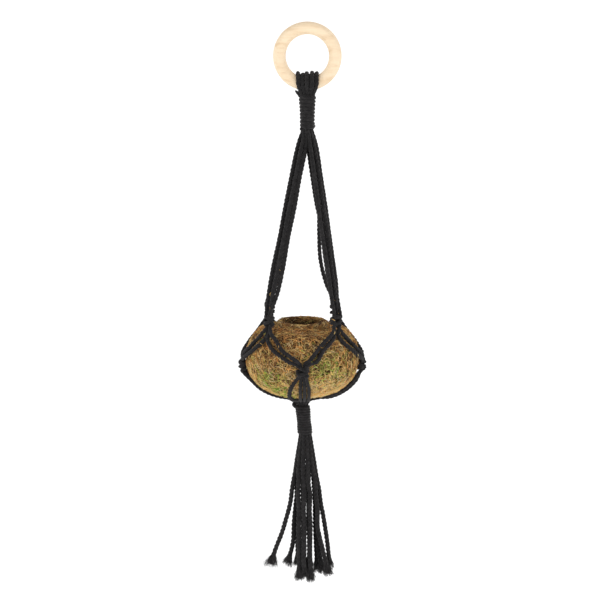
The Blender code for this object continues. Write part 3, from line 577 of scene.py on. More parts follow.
def cord_material():
    """Matte black cotton: fine yarns along each ply, a little sheen and uneven dye."""
    book = NodeBook("black_cotton", Roughness=0.92, Specular_IOR_Level=0.22, Sheen_Weight=0.22,
                    Sheen_Roughness=0.45, Sheen_Tint=(0.55, 0.52, 0.52, 1.0))
    yarns = book.mapped(book.add("ShaderNodeUVMap").outputs["UV"],
                        Scale=(24.0, 900.0, 1.0), Rotation=(0.0, 0.0, 0.55))
    fine = book.noise(yarns, Scale=1.0, Detail=3.0, Roughness=0.6)
    place = book.place()
    dye = book.noise(place, Scale=260.0, Detail=4.0, Roughness=0.55)
    book.wear("Base Color", book.ramp(dye, (
        (0.3, (0.0085, 0.008, 0.0085)), (0.55, (0.016, 0.015, 0.0155)),
        (0.78, (0.03, 0.028, 0.0285)))))
    lint = book.noise(place, Scale=1900.0, Detail=3.0, Roughness=0.7)
    book.wear("Normal", book.bump(lint, 0.45, 0.00018, book.bump(fine, 0.55, 0.00025)))
    return book.material


def wood_material():
    """Pale sanded wood: straight grain across the board it was turned from, and faint pores."""
    book = NodeBook("pale_wood", Roughness=0.46, Specular_IOR_Level=0.35, Coat_Weight=0.06,
                    Coat_Roughness=0.3)
    place = book.place()
    board = book.mapped(place, Scale=(26.0, 150.0, 210.0), Rotation=(0.0, 0.1, 0.0))
    grain = book.noise(board, Scale=1.0, Detail=5.0, Roughness=0.55, Distortion=0.35)
    colour = book.ramp(grain, (
        (0.28, (0.76, 0.56, 0.35)), (0.47, (0.86, 0.68, 0.47)),
        (0.62, (0.9, 0.735, 0.525)), (0.8, (0.83, 0.64, 0.425))))
    pores = book.mapped(place, Scale=(160.0, 1500.0, 2100.0), Rotation=(0.0, 0.1, 0.0))
    fleck = book.noise(pores, Scale=1.0, Detail=3.0, Roughness=0.5)
    shade = book.ramp(fleck, ((0.3, (0.84, 0.8, 0.76)), (0.42, (1.0, 1.0, 1.0))))
    book.wear("Base Color", book.multiply(colour, shade, 0.6))
    book.wear("Roughness", book.between(grain, 0.4, 0.56))
    book.wear("Normal", book.bump(fleck, 0.12, 0.0001))
    return book.material


def moss_material():
    """Dried plant strands, each with its own colour, streaked along its length."""
    book = NodeBook("dried_moss", Roughness=0.72, Specular_IOR_Level=0.18)
    own = book.add("ShaderNodeAttribute")
    own.attribute_name = "strand_colour"
    streak = book.noise(book.place(), Scale=700.0, Detail=4.0, Roughness=0.65)
    shade = book.ramp(streak, (
        (0.3, (0.58, 0.54, 0.5)), (0.52, (1.0, 1.0, 1.0)), (0.75, (1.22, 1.18, 1.08))))
    book.wear("Base Color", book.multiply(own.outputs["Color"], shade, 1.0))
    book.wear("Normal", book.bump(streak, 0.35, 0.0002))
    return book.material


def moss_body_material():
    """The packed fibre under the strands: dark brown, crumbly."""
    book = NodeBook("moss_body", Roughness=0.95, Specular_IOR_Level=0.12)
    crumbs = book.noise(book.place(), Scale=420.0, Detail=6.0, Roughness=0.7)
    book.wear("Base Color", book.ramp(crumbs, (
        (0.32, (0.012, 0.007, 0.004)), (0.52, (0.05, 0.028, 0.013)),
        (0.72, (0.13, 0.08, 0.036)))))
    book.wear("Normal", book.bump(crumbs, 0.8, 0.0012))
    return book.material


def liner_material():
    """Matte black moulded plastic with a fine spark-eroded texture."""
    book = NodeBook("liner_plastic", Roughness=0.5, Specular_IOR_Level=0.4)
    spark = book.noise(book.place(), Scale=2600.0, Detail=2.0, Roughness=0.5)
    book.wear("Base Color", book.ramp(spark, (
        (0.3, (0.01, 0.01, 0.01)), (0.75, (0.018, 0.017, 0.016)))))
    book.wear("Roughness", book.between(spark, 0.42, 0.62))
    book.wear("Normal", book.bump(spark, 0.2, 0.00006))
    return book.material


# ---- camera and stage ----

CAMERA_PLACE = (-0.0075, -2.0, 0.07)
CAMERA_PITCH = 9.764            # degrees down
CAMERA_LENS = 117.0
STAGE_DEPTH = 3.0
STAGE_GLOW = 0.86               # so that the paper reads white without flooding the object
FLOOR_HEIGHT = CAD_BOX[0][2] - 0.45


def add_camera():
    data = bpy.data.cameras.new("camera")
    data.lens = CAMERA_LENS
    data.sensor_width = 36.0
    data.clip_end = 30.0
    camera = bpy.data.objects.new("camera", data)
    camera.location = CAMERA_PLACE
    camera.rotation_euler = (math.radians(90.0 - CAMERA_PITCH), 0.0, 0.0)
    bpy.context.scene.collection.objects.link(camera)
    bpy.context.scene.camera = camera


def add_area_light(name, place, target, size, power):
    data = bpy.data.lights.new(name, "AREA")
    data.shape = "SQUARE"
    data.size = size
    data.energy = power
    light = bpy.data.objects.new(name, data)
    light.location = place
    aim = Vector(target) - Vector(place)
    light.rotation_euler = aim.to_track_quat("-Z", "Y").to_euler()
    bpy.context.scene.collection.objects.link(light)


def add_stage():
    """A pale round floor that curves up into a wall all the way round."""
    radius = STAGE_DEPTH
    cove = 0.8
    profile = [(0.0, 0.0), (radius - cove, 0.0)]
    for index in range(1, 13):
        turn = math.radians(90.0 * index / 12.0)
        profile.append((radius - cove + cove * math.sin(turn), cove - cove * math.cos(turn)))
    profile.append((radius, 4.2))
    steps = 96
    turn = np.arange(steps) * (math.tau / steps)
    outline = np.array(profile)
    rings = np.stack([outline[:, 0][:, None] * np.cos(turn)[None, :],
                      outline[:, 0][:, None] * np.sin(turn)[None, :],
                      np.repeat(outline[:, 1][:, None] + FLOOR_HEIGHT, steps, axis=1)], axis=-1)
    quads, _ = tube_faces(len(profile), steps)
    book = NodeBook("stage_paper", Roughness=0.9, Base_Color=(0.3, 0.3, 0.3, 1.0),
                    Specular_IOR_Level=0.0, Emission_Color=(1.0, 1.0, 1.0, 1.0),
                    Emission_Strength=STAGE_GLOW)
    stage = make_object("stage", rings.reshape(-1, 3), [quads], book.material)


def add_light():
    scene = bpy.context.scene
    scene.view_settings.view_transform = "Standard"
    world = bpy.data.worlds.new("studio")
    world.use_nodes = True
    world.node_tree.nodes["Background"].inputs["Color"].default_value = (1.0, 1.0, 1.0, 1.0)
    world.node_tree.nodes["Background"].inputs["Strength"].default_value = 0.3
    scene.world = world
    middle = (0.0, 0.0, -0.28)
    add_area_light("key", (-0.9, -1.5, 0.9), middle, 1.2, 4.0)
    add_area_light("fill", (1.3, -1.1, 0.2), middle, 1.4, 1.5)
    add_area_light("back", (0.3, 1.6, 0.8), middle, 1.4, 1.5)


add_camera()
add_light()
add_stage()

COTTON = cord_material()


# ---- the bowl's outline, which the cords follow ----

def outline_radius(height):
    """Radius of the bowl's side at a height below its rim (a negative number)."""
    belly = BELLY_SHARE * BOWL_DEPTH
    above = height + belly
    if above < 0.0:
        share, power = -above / (BOWL_DEPTH - belly), 2.3
    else:
        share, power = above / (belly * 1.16), 2.1
    return BOWL_RADIUS * max(0.0, 1.0 - share ** power) ** (1.0 / power)


def bowl_side():
    """The bowl's side from under the collar's lip to the bottom, as (radius, height) points."""
    foot = -0.12 * BOWL_DEPTH
    belly = -BELLY_SHARE * BOWL_DEPTH
    shoulder = outline_radius(foot)
    lip = COLLAR_RADIUS
    points = [(lip + 0.0012, -0.0042), (lip + 0.3 * (shoulder - lip), -0.0062),
              (lip + 0.65 * (shoulder - lip), -0.0075)]
    for index in range(9):
        height = foot + (belly - foot) * index / 8.0
        points.append((outline_radius(height), height))
    for index in range(1, 10):
        height = belly - (BOWL_DEPTH + belly) * math.sin(math.radians(9.0 * index))
        points.append((outline_radius(height), height))
    points.append((0.0, -BOWL_DEPTH))
    return points


SIDE = bowl_side()


def offset_side(offset):
    """The bowl's side moved out along its normals, as world (radius, height) points."""
    moved = []
    for index, (radius, height) in enumerate(SIDE):
        before = SIDE[max(index - 1, 0)]
        after = SIDE[min(index + 1, len(SIDE) - 1)]
        along = Vector((after[0] - before[0], after[1] - before[1])).normalized()
        moved.append((radius - along.y * offset, BOWL_RIM + height + along.x * offset))
    return moved


def radius_at(side, height):
    for upper, lower in zip(side, side[1:]):
        if lower[1] <= height <= upper[1]:
            share = (upper[1] - height) / (upper[1] - lower[1])
            return upper[0] + (lower[0] - upper[0]) * share
    return 0.0 if height < side[-1][1] else side[0][0]


def height_at(side, radius):
    belly = BOWL_RIM - BELLY_SHARE * BOWL_DEPTH
    for upper, lower in zip(side, side[1:]):
        if upper[1] < belly and lower[0] <= radius <= upper[0]:
            share = (upper[0] - radius) / (upper[0] - lower[0])
            return upper[1] + (lower[1] - upper[1]) * share
    return side[-1][1]


# ---- routes of the cords ----

def packed_place(centre_angle, place, pitch):
    """Place of one of sixteen cords packed in a round: four sectors of three outer, one inner."""
    if place == 1:
        return direction(centre_angle) * (INNER_RING_FACTOR * pitch)
    turn = {0: -30.0, 2: 0.0, 3: 30.0}[place]
    return direction(centre_angle + turn) * (OUTER_RING_FACTOR * pitch)


def knot_points(middle, facing, points, half, width):
    """A cord's stations through a square knot of these half sizes that faces outward."""
    outward = direction(facing)
    across = direction(facing + 90.0)
    stations = []
    for side, out, up in points:
        place = middle + across * (side * half[0]) + outward * (out * half[1])
        stations.append((place + Vector((0.0, 0.0, up * half[2])), width))
    return stations


def straight_cord(side):
    return (side, 0.0, 0.8), (side, 0.0, 0.0), (side, 0.0, -0.8)


def arm_stations(arm, place, rng):
    """From inside the top wrap down to the upper knot."""
    angle = ARM_ANGLES[arm]
    outward = direction(angle)
    across = direction(angle + 90.0)
    knot = middle_of("upper_knot_" + arm)
    inside = packed_place(angle, place, SQUEEZED_PITCH)
    stations = [(inside + Vector((0.0, 0.0, TOP_WRAP_BOTTOM + 0.014)), 0.0028),
                (inside * 1.04 + Vector((0.0, 0.0, TOP_WRAP_BOTTOM + 0.002)), 0.0034)]
    bottom = knot.z + UPPER_KNOT_REACH
    start = OUTER_RING_FACTOR * SQUEEZED_PITCH * 0.85
    reach = math.hypot(knot.x - BOWL_X, knot.y)
    for share, spread in ARM_LEVELS:
        centre = outward * (start + (reach - start) * share)
        centre.x += BOWL_X * share
        side = (place - 1.5) * ARM_SIDE_PITCH * spread
        depth = (0.5 if place % 2 == 0 else -0.5) * ARM_STAGGER * spread
        wander = Vector(rng.normal(0.0, ARM_WANDER, 3)) * (1.0 if 0.1 < share < 0.8 else 0.0)
        wander.z = 0.0
        height = TOP_WRAP_BOTTOM + (bottom - TOP_WRAP_BOTTOM) * share
        bow = math.sin(math.pi * max(0.0, (share - 0.3) / 0.7) ** 1.6)
        loose = ARM_LOOSE.get((arm, place), 0.0) * bow
        aside = Vector((loose, 0.0, 0.0))
        point = centre + across * side + outward * depth + Vector((0.0, 0.0, height)) + wander + aside
        stations.append((point, CORD * min(1.0, spread + 0.04)))
    return stations


def upper_knot_stations(arm, place):
    """Through an upper knot: the outer two cords are tied round the inner two."""
    knot = middle_of("upper_knot_" + arm)
    facing = ARM_ANGLES[arm]
    half = FRONT_KNOT_HALF if arm.startswith("front") else BACK_KNOT_HALF
    if place == 0:
        return knot_points(knot, facing, OVER_CORD, half, UPPER_KNOT_CORD)
    if place == 3:
        return knot_points(knot, facing, UNDER_CORD, half, UPPER_KNOT_CORD)
    straight = straight_cord(-0.34 if place == 1 else 0.34)
    return knot_points(knot, facing, straight, half, UPPER_KNOT_CORD * 0.9)


def lower_knot_of(arm, place):
    """The lower knot that a cord runs to: the first two go one way, the last two the other."""
    turn = 45.0 if place >= 2 else -45.0
    target = (ARM_ANGLES[arm] + turn) % 360.0
    return next(name for name, angle in KNOT_ANGLES.items() if angle == target)


def net_stations(arm, place, knot):
    """Over the bowl, from the upper knot to a lower knot; the inner cords lead the way round."""
    leads = place in (1, 2)
    turn = 45.0 if place >= 2 else -45.0
    upper = middle_of("upper_knot_" + arm)
    lower = middle_of("lower_knot_" + knot)
    reach = math.hypot(upper.x - BOWL_X, upper.y)
    lower_reach = math.hypot(lower.x - BOWL_X, lower.y)
    top = upper.z - UPPER_KNOT_REACH
    bottom = lower.z + LOWER_KNOT_REACH
    side = offset_side(CORD_REST + CORD / 2.0)
    stations = []
    levels = TIGHT_LEVELS if (arm, knot) == ("front_right", "front") else NET_LEVELS
    for share, lead_turn, trail_turn, depth in levels:
        height = top + (bottom - top) * share
        angle = ARM_ANGLES[arm] + turn * (lead_turn if leads else trail_turn)
        out = reach + (lower_reach - reach) * share + (depth if leads else -depth)
        point = direction(angle) * max(radius_at(side, height), out)
        stations.append((point + Vector((BOWL_X, 0.0, height)), CORD * (0.94 if depth else 1.0)))
    for across, up, thickness in (LEAD_ENDS if leads else TRAIL_ENDS):
        angle = KNOT_ANGLES[knot] - math.degrees(across / lower_reach) * math.copysign(1.0, turn)
        point = direction(angle) * max(radius_at(side, bottom + up), lower_reach)
        stations.append((point + Vector((BOWL_X, 0.0, bottom + up)), CORD * thickness))
    return stations


def knot_row(place):
    """Place in a lower knot's row of four, counted along the turning direction."""
    return {2: -0.5, 3: -1.5, 1: 0.5, 0: 1.5}[place]


def lower_knot_stations(place, knot):
    """Through a lower knot: the outer two cords of the row are tied round the inner two."""
    facing = KNOT_ANGLES[knot]
    centre = middle_of("lower_knot_" + knot) - direction(facing) * KNOT_PRESS
    row = knot_row(place)
    points = {-1.5: OVER_CORD, 1.5: UNDER_CORD}.get(row) or straight_cord(row * 0.62)
    return knot_points(centre, facing, points, LOWER_KNOT_HALF, LOWER_KNOT_CORD)


def base_stations(place, knot):
    """Under the bowl, from a lower knot into the lower wrap."""
    facing = KNOT_ANGLES[knot]
    outward = direction(facing)
    across = direction(facing + 90.0)
    axis = Vector((BOWL_X, 0.0, 0.0))
    row = knot_row(place)
    slack = knot == "front" and row == -1.5
    slim = FRONT_BASE_WIDTH if knot == "front" and not slack else 1.0
    side = offset_side(CORD_REST + CORD / 2.0)
    stations = []
    stacked = knot == "right" and abs(row) < 1.0
    for share, thickness, bow in BASE_LEVELS:
        radius = BOWL_RADIUS * share
        step = row * CORD * thickness * BASE_PITCH + (bow if slack else 0.0)
        point = axis + outward * radius + across * step
        point.z = height_at(side, math.hypot(radius, step))
        if stacked and share > 0.3:
            point += (outward * 0.6 - Vector((0.0, 0.0, 0.8))) * STACK_STEP
        stations.append((point, CORD * thickness * slim))
    end_place = {-1.5: 0, -0.5: 2, 0.5: 1, 1.5: 3}[row]
    for out, spread, drop, width in NECK_LEVELS:
        point = axis + outward * out + across * (row * spread)
        point.z = BOWL_BOTTOM - drop
        stations.append((point, width))
    for depth, pitch in ((0.0015, 0.0025), (0.009, SQUEEZED_PITCH)):
        point = axis + packed_place(facing, end_place, pitch)
        point.z = TAIL_PIVOT.z - depth
        point.x += math.sin(TAIL_LEAN) * depth
        stations.append((point, 0.0029))
    return stations


def loop_stations(index):
    """A folded cord over the ring's bottom bar, from inside the wrap in front to inside it behind.

    The middle loops ride up on the three that are pressed against the wood.
    """
    x, lift = LOOP_SEATS[index]
    pressed = lift < 0.0001 and abs(x) < 0.009
    lean = math.asin(x / RING_MIDDLE)
    bar = Vector((x, 0.0, RING_HEIGHT - RING_MIDDLE * math.cos(lean)))
    inward = Vector((0.0, 0.0, 1.0 / math.cos(lean)))
    width = 0.004 if pressed else 0.0044
    radius = RING_TUBE + 0.0024 + lift
    entry = 0.0028 if pressed else 0.0056
    stations = []
    for side in (-1.0, 1.0):
        legs = [(Vector((near * x, side * (entry * share + more), TOP_WRAP_TOP + rise)), width * thin)
                for near, share, more, rise, thin in LOOP_LEGS]
        arc = []
        for angle in LOOP_ARC:
            turn = math.radians(angle)
            out = Vector((0.0, side * math.sin(turn), 0.0)) + inward * math.cos(turn)
            arc.append((bar + out * radius, width))
        stations += (legs + arc) if side < 0.0 else ([(bar + inward * radius, width)]
                                                     + arc[::-1] + legs[::-1])
    return stations


# ---- main cords ----

def build_loops():
    for index in range(len(LOOP_PLACES)):
        loop, _ = make_rope("ring_loop_%d" % (index + 1), loop_stations(index), COTTON, 100 + index)
        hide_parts("main_cord_%d" % (index + 1))
        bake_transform(loop)


def build_half_cords():
    for index, ends in enumerate(LOOP_PLACES):
        for half, (arm, place) in zip(("front", "back"), ends):
            rng = np.random.default_rng(200 + index * 2 + (half == "back"))
            knot = lower_knot_of(arm, place)
            stations = arm_stations(arm, place, rng)
            stations += upper_knot_stations(arm, place)
            stations += net_stations(arm, place, knot)
            stations += lower_knot_stations(place, knot)
            stations += base_stations(place, knot)
            name = "cord_%d_%s" % (index + 1, half)
            cord, _ = make_rope(name, stations, COTTON, 300 + index * 2 + (half == "back"))
            if place == 0:
                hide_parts("upper_knot_" + arm)
            if knot_row(place) == -1.5:
                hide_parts("lower_knot_" + knot)
            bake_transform(cord)


# ---- wraps ----

def coil_stations(turns, start_angle, place_at, width):
    """Stations along a coil; place_at gives (radius, depth) at a share of its length."""
    steps = int(turns * 14)
    stations = []
    for index in range(steps + 1):
        share = index / steps
        angle = start_angle + 360.0 * turns * share
        radius, depth = place_at(share)
        stations.append((direction(angle) * radius + Vector((0.0, 0.0, -depth)), width))
    return stations


def build_top_wrap():
    """The gathering wrap under the ring, with both cut ends showing."""
    width = TOP_WRAP_CORD
    length = TOP_WRAP_TOP - TOP_WRAP_BOTTOM - width

    def place_at(share):
        radius = TOP_WRAP_RADIUS + TOP_WRAP_FLARE * (1.0 - share) ** 3
        return radius, width / 2.0 + length * share

    coil = [(point + Vector((0.0, 0.0, TOP_WRAP_TOP)), size)
            for point, size in coil_stations(TOP_WRAP_TURNS, 200.0, place_at, width)]
    tail = [(Vector((x, y, TOP_WRAP_TOP + rise)), size) for x, y, rise, size in TOP_WRAP_TAIL]
    end = coil[-1][0]
    knob = [(end + Vector(place), width * share) for *place, share in TOP_WRAP_KNOB]
    wrap, _ = make_rope("top_wrap_coil", tail + coil + knob, COTTON, 400, ply=WRAP_PLY, hairs=WRAP_HAIRS)
    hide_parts("top_wrap")
    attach(wrap, "sling")


def tail_point(point):
    """A point given from the tail's pivot, with its axis straight down, leaned as it hangs."""
    x, y, z = point
    lean = TAIL_LEAN
    return Vector((x * math.cos(lean) - z * math.sin(lean), y,
                   x * math.sin(lean) + z * math.cos(lean))) + TAIL_PIVOT


def build_lower_wrap():
    """The gathering wrap above the tassel."""
    width = LOWER_WRAP_CORD
    length = LOWER_WRAP_LENGTH - width

    def place_at(share):
        radius = LOWER_WRAP_RADIUS + 0.00025 * math.sin(9.0 * share)
        return radius, TAIL_GAP - 0.0004 + width / 2.0 + length * share

    start = [(Vector(place), width * share) for *place, share in LOWER_WRAP_KNOB]
    stations = start + coil_stations(LOWER_WRAP_TURNS, 225.0, place_at, width)
    leaned = [(tail_point(point), size) for point, size in stations]
    wrap, _ = make_rope("lower_wrap_coil", leaned, COTTON, 410, ply=WRAP_PLY, hairs=WRAP_HAIRS)
    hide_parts("lower_wrap", "wrap_core")
    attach(wrap, "tail")


# ---- tassel ----

def tassel_stations(arm, place):
    angle = ARM_ANGLES[arm]
    wrap_end = TAIL_GAP + LOWER_WRAP_LENGTH
    top = tail_point((0.0, 0.0, -(wrap_end + TASSEL_GAP)))
    inside = packed_place(angle, place, SQUEEZED_PITCH)
    mouth = packed_place(angle, place, TASSEL_MOUTH_PITCH)
    knee = top + packed_place(angle, place, CORD + 0.0006)
    knee.z -= TASSEL_SPREAD_DEPTH
    stations = [(tail_point((inside.x, inside.y, TASSEL_HIDDEN - wrap_end)), 0.0026),
                (tail_point((mouth.x, mouth.y, -wrap_end)), 0.0036),
                (knee, TASSEL_CORD)]
    rng = np.random.default_rng(900 + 4 * list(ARM_ANGLES).index(arm) + place)
    before = knee
    for x, y, depth in TASSEL_ROUTES[arm][place]:
        point = Vector((x, y, top.z - depth))
        wave = Vector((rng.normal(0.0, TASSEL_WAVE), rng.normal(0.0, TASSEL_WAVE), 0.0))
        stations.append(((before + point) / 2.0 + wave, TASSEL_CORD))
        stations.append((point, TASSEL_CORD))
        before = point
    return stations


def fray_fibres(name, path, rng, width):
    """A cord's end come apart: fine yarns that leave it and spread into a flat fan."""
    count = FRAY_YARNS
    points = FIBRE_POINTS
    end = path[-1]
    down = path[-1] - path[-14]
    down /= np.linalg.norm(down)
    first = np.cross(down, rng.normal(0.0, 1.0, 3))
    first /= np.linalg.norm(first)
    second = np.cross(down, first)
    turn = rng.uniform(0.0, math.tau, count)
    inner = np.sqrt(rng.uniform(0.0, 1.0, count)) * CORD * 0.4
    spread = rng.uniform(0.15, 1.0, count) * width
    share = np.linspace(0.0, 1.0, points)[None, :]
    reach = 0.0165 + rng.uniform(-0.005, 0.0015, count)[:, None]
    open_up = share ** 1.7
    across = np.cos(turn)[:, None] * (inner[:, None] + open_up * spread[:, None])
    deep = np.sin(turn)[:, None] * (inner[:, None] + open_up * spread[:, None] * 0.55)
    wave = rng.uniform(0.0, 6.3, (count, 2))
    across = across + np.sin(share * 6.0 + wave[:, :1]) * 0.0004 * share
    deep = deep + np.sin(share * 7.0 + wave[:, 1:]) * 0.0004 * share
    drop = -0.014 + reach * share
    paths = (end + down * drop[..., None] + first * across[..., None] + second * deep[..., None])
    radii = np.full((count, points), 0.00024) * (1.0 - 0.45 * share)
    shade = np.full((count, 3), 1.0)
    return make_fibres(name, paths, radii, COTTON, shade)


def build_tassel():
    for arm_index, arm in enumerate(ARM_ANGLES):
        body = "tassel_" + arm
        for place in range(4):
            seed = 500 + arm_index * 4 + place
            rng = np.random.default_rng(seed)
            name = "tassel_cord_%s_%d" % (arm, place + 1)
            strand, path = make_rope(name, tassel_stations(arm, place), COTTON, seed)
            wide = 0.01 if (arm, place) == ("front_left", 0) else rng.uniform(0.0044, 0.0072)
            fray = fray_fibres(name + "_fray", path, rng, wide)
            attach(fray, body)
            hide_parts("tassel_%s_%d" % (arm, place + 1))
            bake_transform(strand)


# ---- moss bowl ----

class Side:
    """A turned surface, given by its outline, on which strands can be laid."""

    def __init__(self, outline):
        points = np.array(outline, float)
        run = np.concatenate([[0.0], np.cumsum(np.linalg.norm(np.diff(points, axis=0), axis=1))])
        self.length = run[-1]
        self.even = np.linspace(0.0, self.length, 260)
        self.radius = np.interp(self.even, run, points[:, 0])
        self.height = np.interp(self.even, run, points[:, 1])
        slope_r = np.gradient(self.radius)
        slope_z = np.gradient(self.height)
        size = np.hypot(slope_r, slope_z)
        kernel = np.ones(9) / 9.0
        self.out_r = np.convolve(np.pad(-slope_z / size, 4, mode="edge"), kernel, "valid")
        self.out_z = np.convolve(np.pad(slope_r / size, 4, mode="edge"), kernel, "valid")

    def scatter(self, rng, count, low, high):
        """Random places down the side, spread evenly over its area."""
        inside = (self.even >= low) & (self.even <= high)
        weight = np.where(inside, self.radius + 0.004, 0.0)
        return rng.choice(self.even, count, p=weight / weight.sum())

    def place(self, turn, down, lift):
        radius = np.interp(down, self.even, self.radius)
        height = np.interp(down, self.even, self.height)
        radius = radius + np.interp(down, self.even, self.out_r) * lift
        height = height + np.interp(down, self.even, self.out_z) * lift
        return np.stack([radius * np.cos(turn) + BOWL_X, radius * np.sin(turn), height], axis=-1)


# Colours of the strands: straw, pale, tan, rust, brown, dark, olive and green.
SHADES = np.array([(0.64, 0.44, 0.17), (0.76, 0.59, 0.3), (0.45, 0.275, 0.095),
                   (0.37, 0.175, 0.05), (0.215, 0.11, 0.045), (0.08, 0.042, 0.018),
                   (0.33, 0.29, 0.08), (0.2, 0.265, 0.045)])
# How much of each is in the lower side, near the collar, in the green patches, and where dried.
LOWER_MIX = np.array([0.26, 0.13, 0.25, 0.1, 0.1, 0.04, 0.1, 0.02])
UPPER_MIX = np.array([0.08, 0.05, 0.16, 0.22, 0.25, 0.23, 0.01, 0.0])
FRESH_MIX = np.array([0.08, 0.08, 0.04, 0.01, 0.03, 0.03, 0.31, 0.42])
DRIED_MIX = np.array([0.44, 0.4, 0.13, 0.02, 0.01, 0.0, 0.0, 0.0])
DRIED_SHARE = 0.9

# Green patches: the angle round the bowl, the share of the way down its side, and strength.
GREEN_PATCHES = ((230.0, 0.56, 1.0), (240.0, 0.66, 1.0), (250.0, 0.72, 1.0), (292.0, 0.4, 0.6),
                 (304.0, 0.43, 0.6), (165.0, 0.62, 1.0), (98.0, 0.7, 1.0), (40.0, 0.58, 1.0))
STRAW_SIDE = 305.0              # the side that has dried palest


def angle_from(turn, degrees):
    """How far angles in radians are from one in degrees, the short way round."""
    return (turn - math.radians(degrees) + math.pi) % (math.tau) - math.pi


def moss_colours(rng, turn, share, brightness):
    """A colour for each strand: brown near the collar, straw lower down, and green patches."""
    count = len(turn)
    drift = (np.sin(3.0 * turn + 5.0 * share) + np.sin(5.0 * turn - 9.0 * share + 2.0)) * 0.5
    upper = np.clip((0.46 - share) / 0.28 + 0.3 * drift, 0.0, 1.0)[:, None]
    green = np.zeros(count)
    for angle, down, strength in GREEN_PATCHES:
        patch = np.exp(-(angle_from(turn, angle) / 0.24) ** 2 - ((share - down) / 0.11) ** 2)
        green = np.maximum(green, strength * patch)
    green = green[:, None]
    straw = (np.exp(-(angle_from(turn, STRAW_SIDE) / 0.75) ** 2)
             * np.clip((share - 0.46) / 0.16, 0.0, 1.0))[:, None]
    weights = LOWER_MIX * (1.0 - upper) + UPPER_MIX * upper
    weights = weights * (1.0 - green) + FRESH_MIX * green
    weights = weights * (1.0 - DRIED_SHARE * straw) + DRIED_MIX * DRIED_SHARE * straw
    weights /= weights.sum(axis=1, keepdims=True)
    pick = (weights.cumsum(axis=1) < rng.uniform(0.0, 1.0, (count, 1))).sum(axis=1)
    shade = SHADES[np.minimum(pick, len(SHADES) - 1)]
    shade = shade * brightness * rng.uniform(0.46, 1.75, (count, 1))
    shade = shade * (1.0 + 0.95 * straw)
    return shade / np.maximum(1.0, shade.max(axis=1, keepdims=True) / 0.88)


def lay_strands(side, rng, count, low, high, length, lift, arch, curl, level=False):
    """Paths of strands that wander over a side; also where each one starts."""
    points = FIBRE_POINTS
    down = side.scatter(rng, count, low, high)
    turn = rng.uniform(0.0, math.tau, count)
    heading = rng.uniform(0.0, math.tau, count)
    if level:
        heading = rng.normal(0.0, 0.28, count) + math.pi / 2.0
    started = turn.copy(), down.copy()
    size = rng.uniform(*length, count)
    bend = rng.normal(0.0, curl, count)
    base = rng.uniform(*lift, count)
    rise = rng.uniform(*arch, count)
    places = []
    for index in range(points):
        share = index / (points - 1)
        height = base + rise * math.sin(math.pi * share) + rng.normal(0.0, 0.00012, count)
        places.append(side.place(turn, down, height))
        step = size / (points - 1)
        radius = np.maximum(np.interp(down, side.even, side.radius), 0.004)
        down = np.clip(down + np.cos(heading) * step, 0.0, side.length)
        turn = turn + np.sin(heading) * step / radius
        bend = bend + rng.normal(0.0, curl * 0.5, count)
        heading = heading + bend / (points - 1)
    return np.stack(places, axis=1), started


def moss_outline(sink):
    return [(max(radius, 0.0), height) for radius, height in offset_side(-sink)]


def build_moss_body():
    """The packed fibre body: the bowl's side, its collar and the pocket for the liner."""
    floor = POCKET_FLOOR - BOWL_RIM
    collar = COLLAR_RADIUS - 0.001
    profile = [(MOUTH_RADIUS, floor)]
    profile += [(MOUTH_RADIUS + out, -down) for out, down in BODY_MOUTH]
    profile += [((MOUTH_RADIUS + collar) / 2.0, -0.0012), (collar - 0.0008, -0.0022)]
    profile += [(radius, height - BOWL_RIM) for radius, height in moss_outline(MOSS_SINK)][:-1]
    profile += [(0.0004, 0.001 - BOWL_DEPTH), (0.0004, floor)]
    body = turned_object("moss_body", profile, 144, moss_body_material(),
                         (BOWL_X, 0.0, BOWL_RIM))
    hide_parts("moss_bowl")
    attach(body, "bowl")


def add_strands(name, paths, turn, share, brightness, thickness, moss, rng, body, shade=1.0):
    """Coloured strands of moss in one piece that rides on a body. Shade scales their colours, and the
    collar uses it for painted shade inside the mouth.
    """
    count = len(paths)
    colours = moss_colours(rng, turn, np.broadcast_to(share, count), brightness) * shade
    radii = rng.uniform(*thickness, count)[:, None] * STRAND_TAPER[None, :]
    piece = make_fibres(name, paths, radii, moss, colours)
    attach(piece, body)


def build_moss():
    """Thousands of curled dry strands over the body, in layers from dark to bright: the lower layers are
    darkened as painted shade between the strands, and the upper ones are lightened as painted highlight.
    """
    moss = moss_material()
    side = Side(moss_outline(MOSS_SINK))
    rng = np.random.default_rng(7)
    for name, count, length, lift, arch, curl, thickness, brightness in MOSS_LAYERS:
        paths, (turn, down) = lay_strands(side, rng, count, 0.0, side.length, length, lift, arch, curl)
        add_strands(name, paths, turn, down / side.length, brightness, thickness, moss, rng, "bowl")


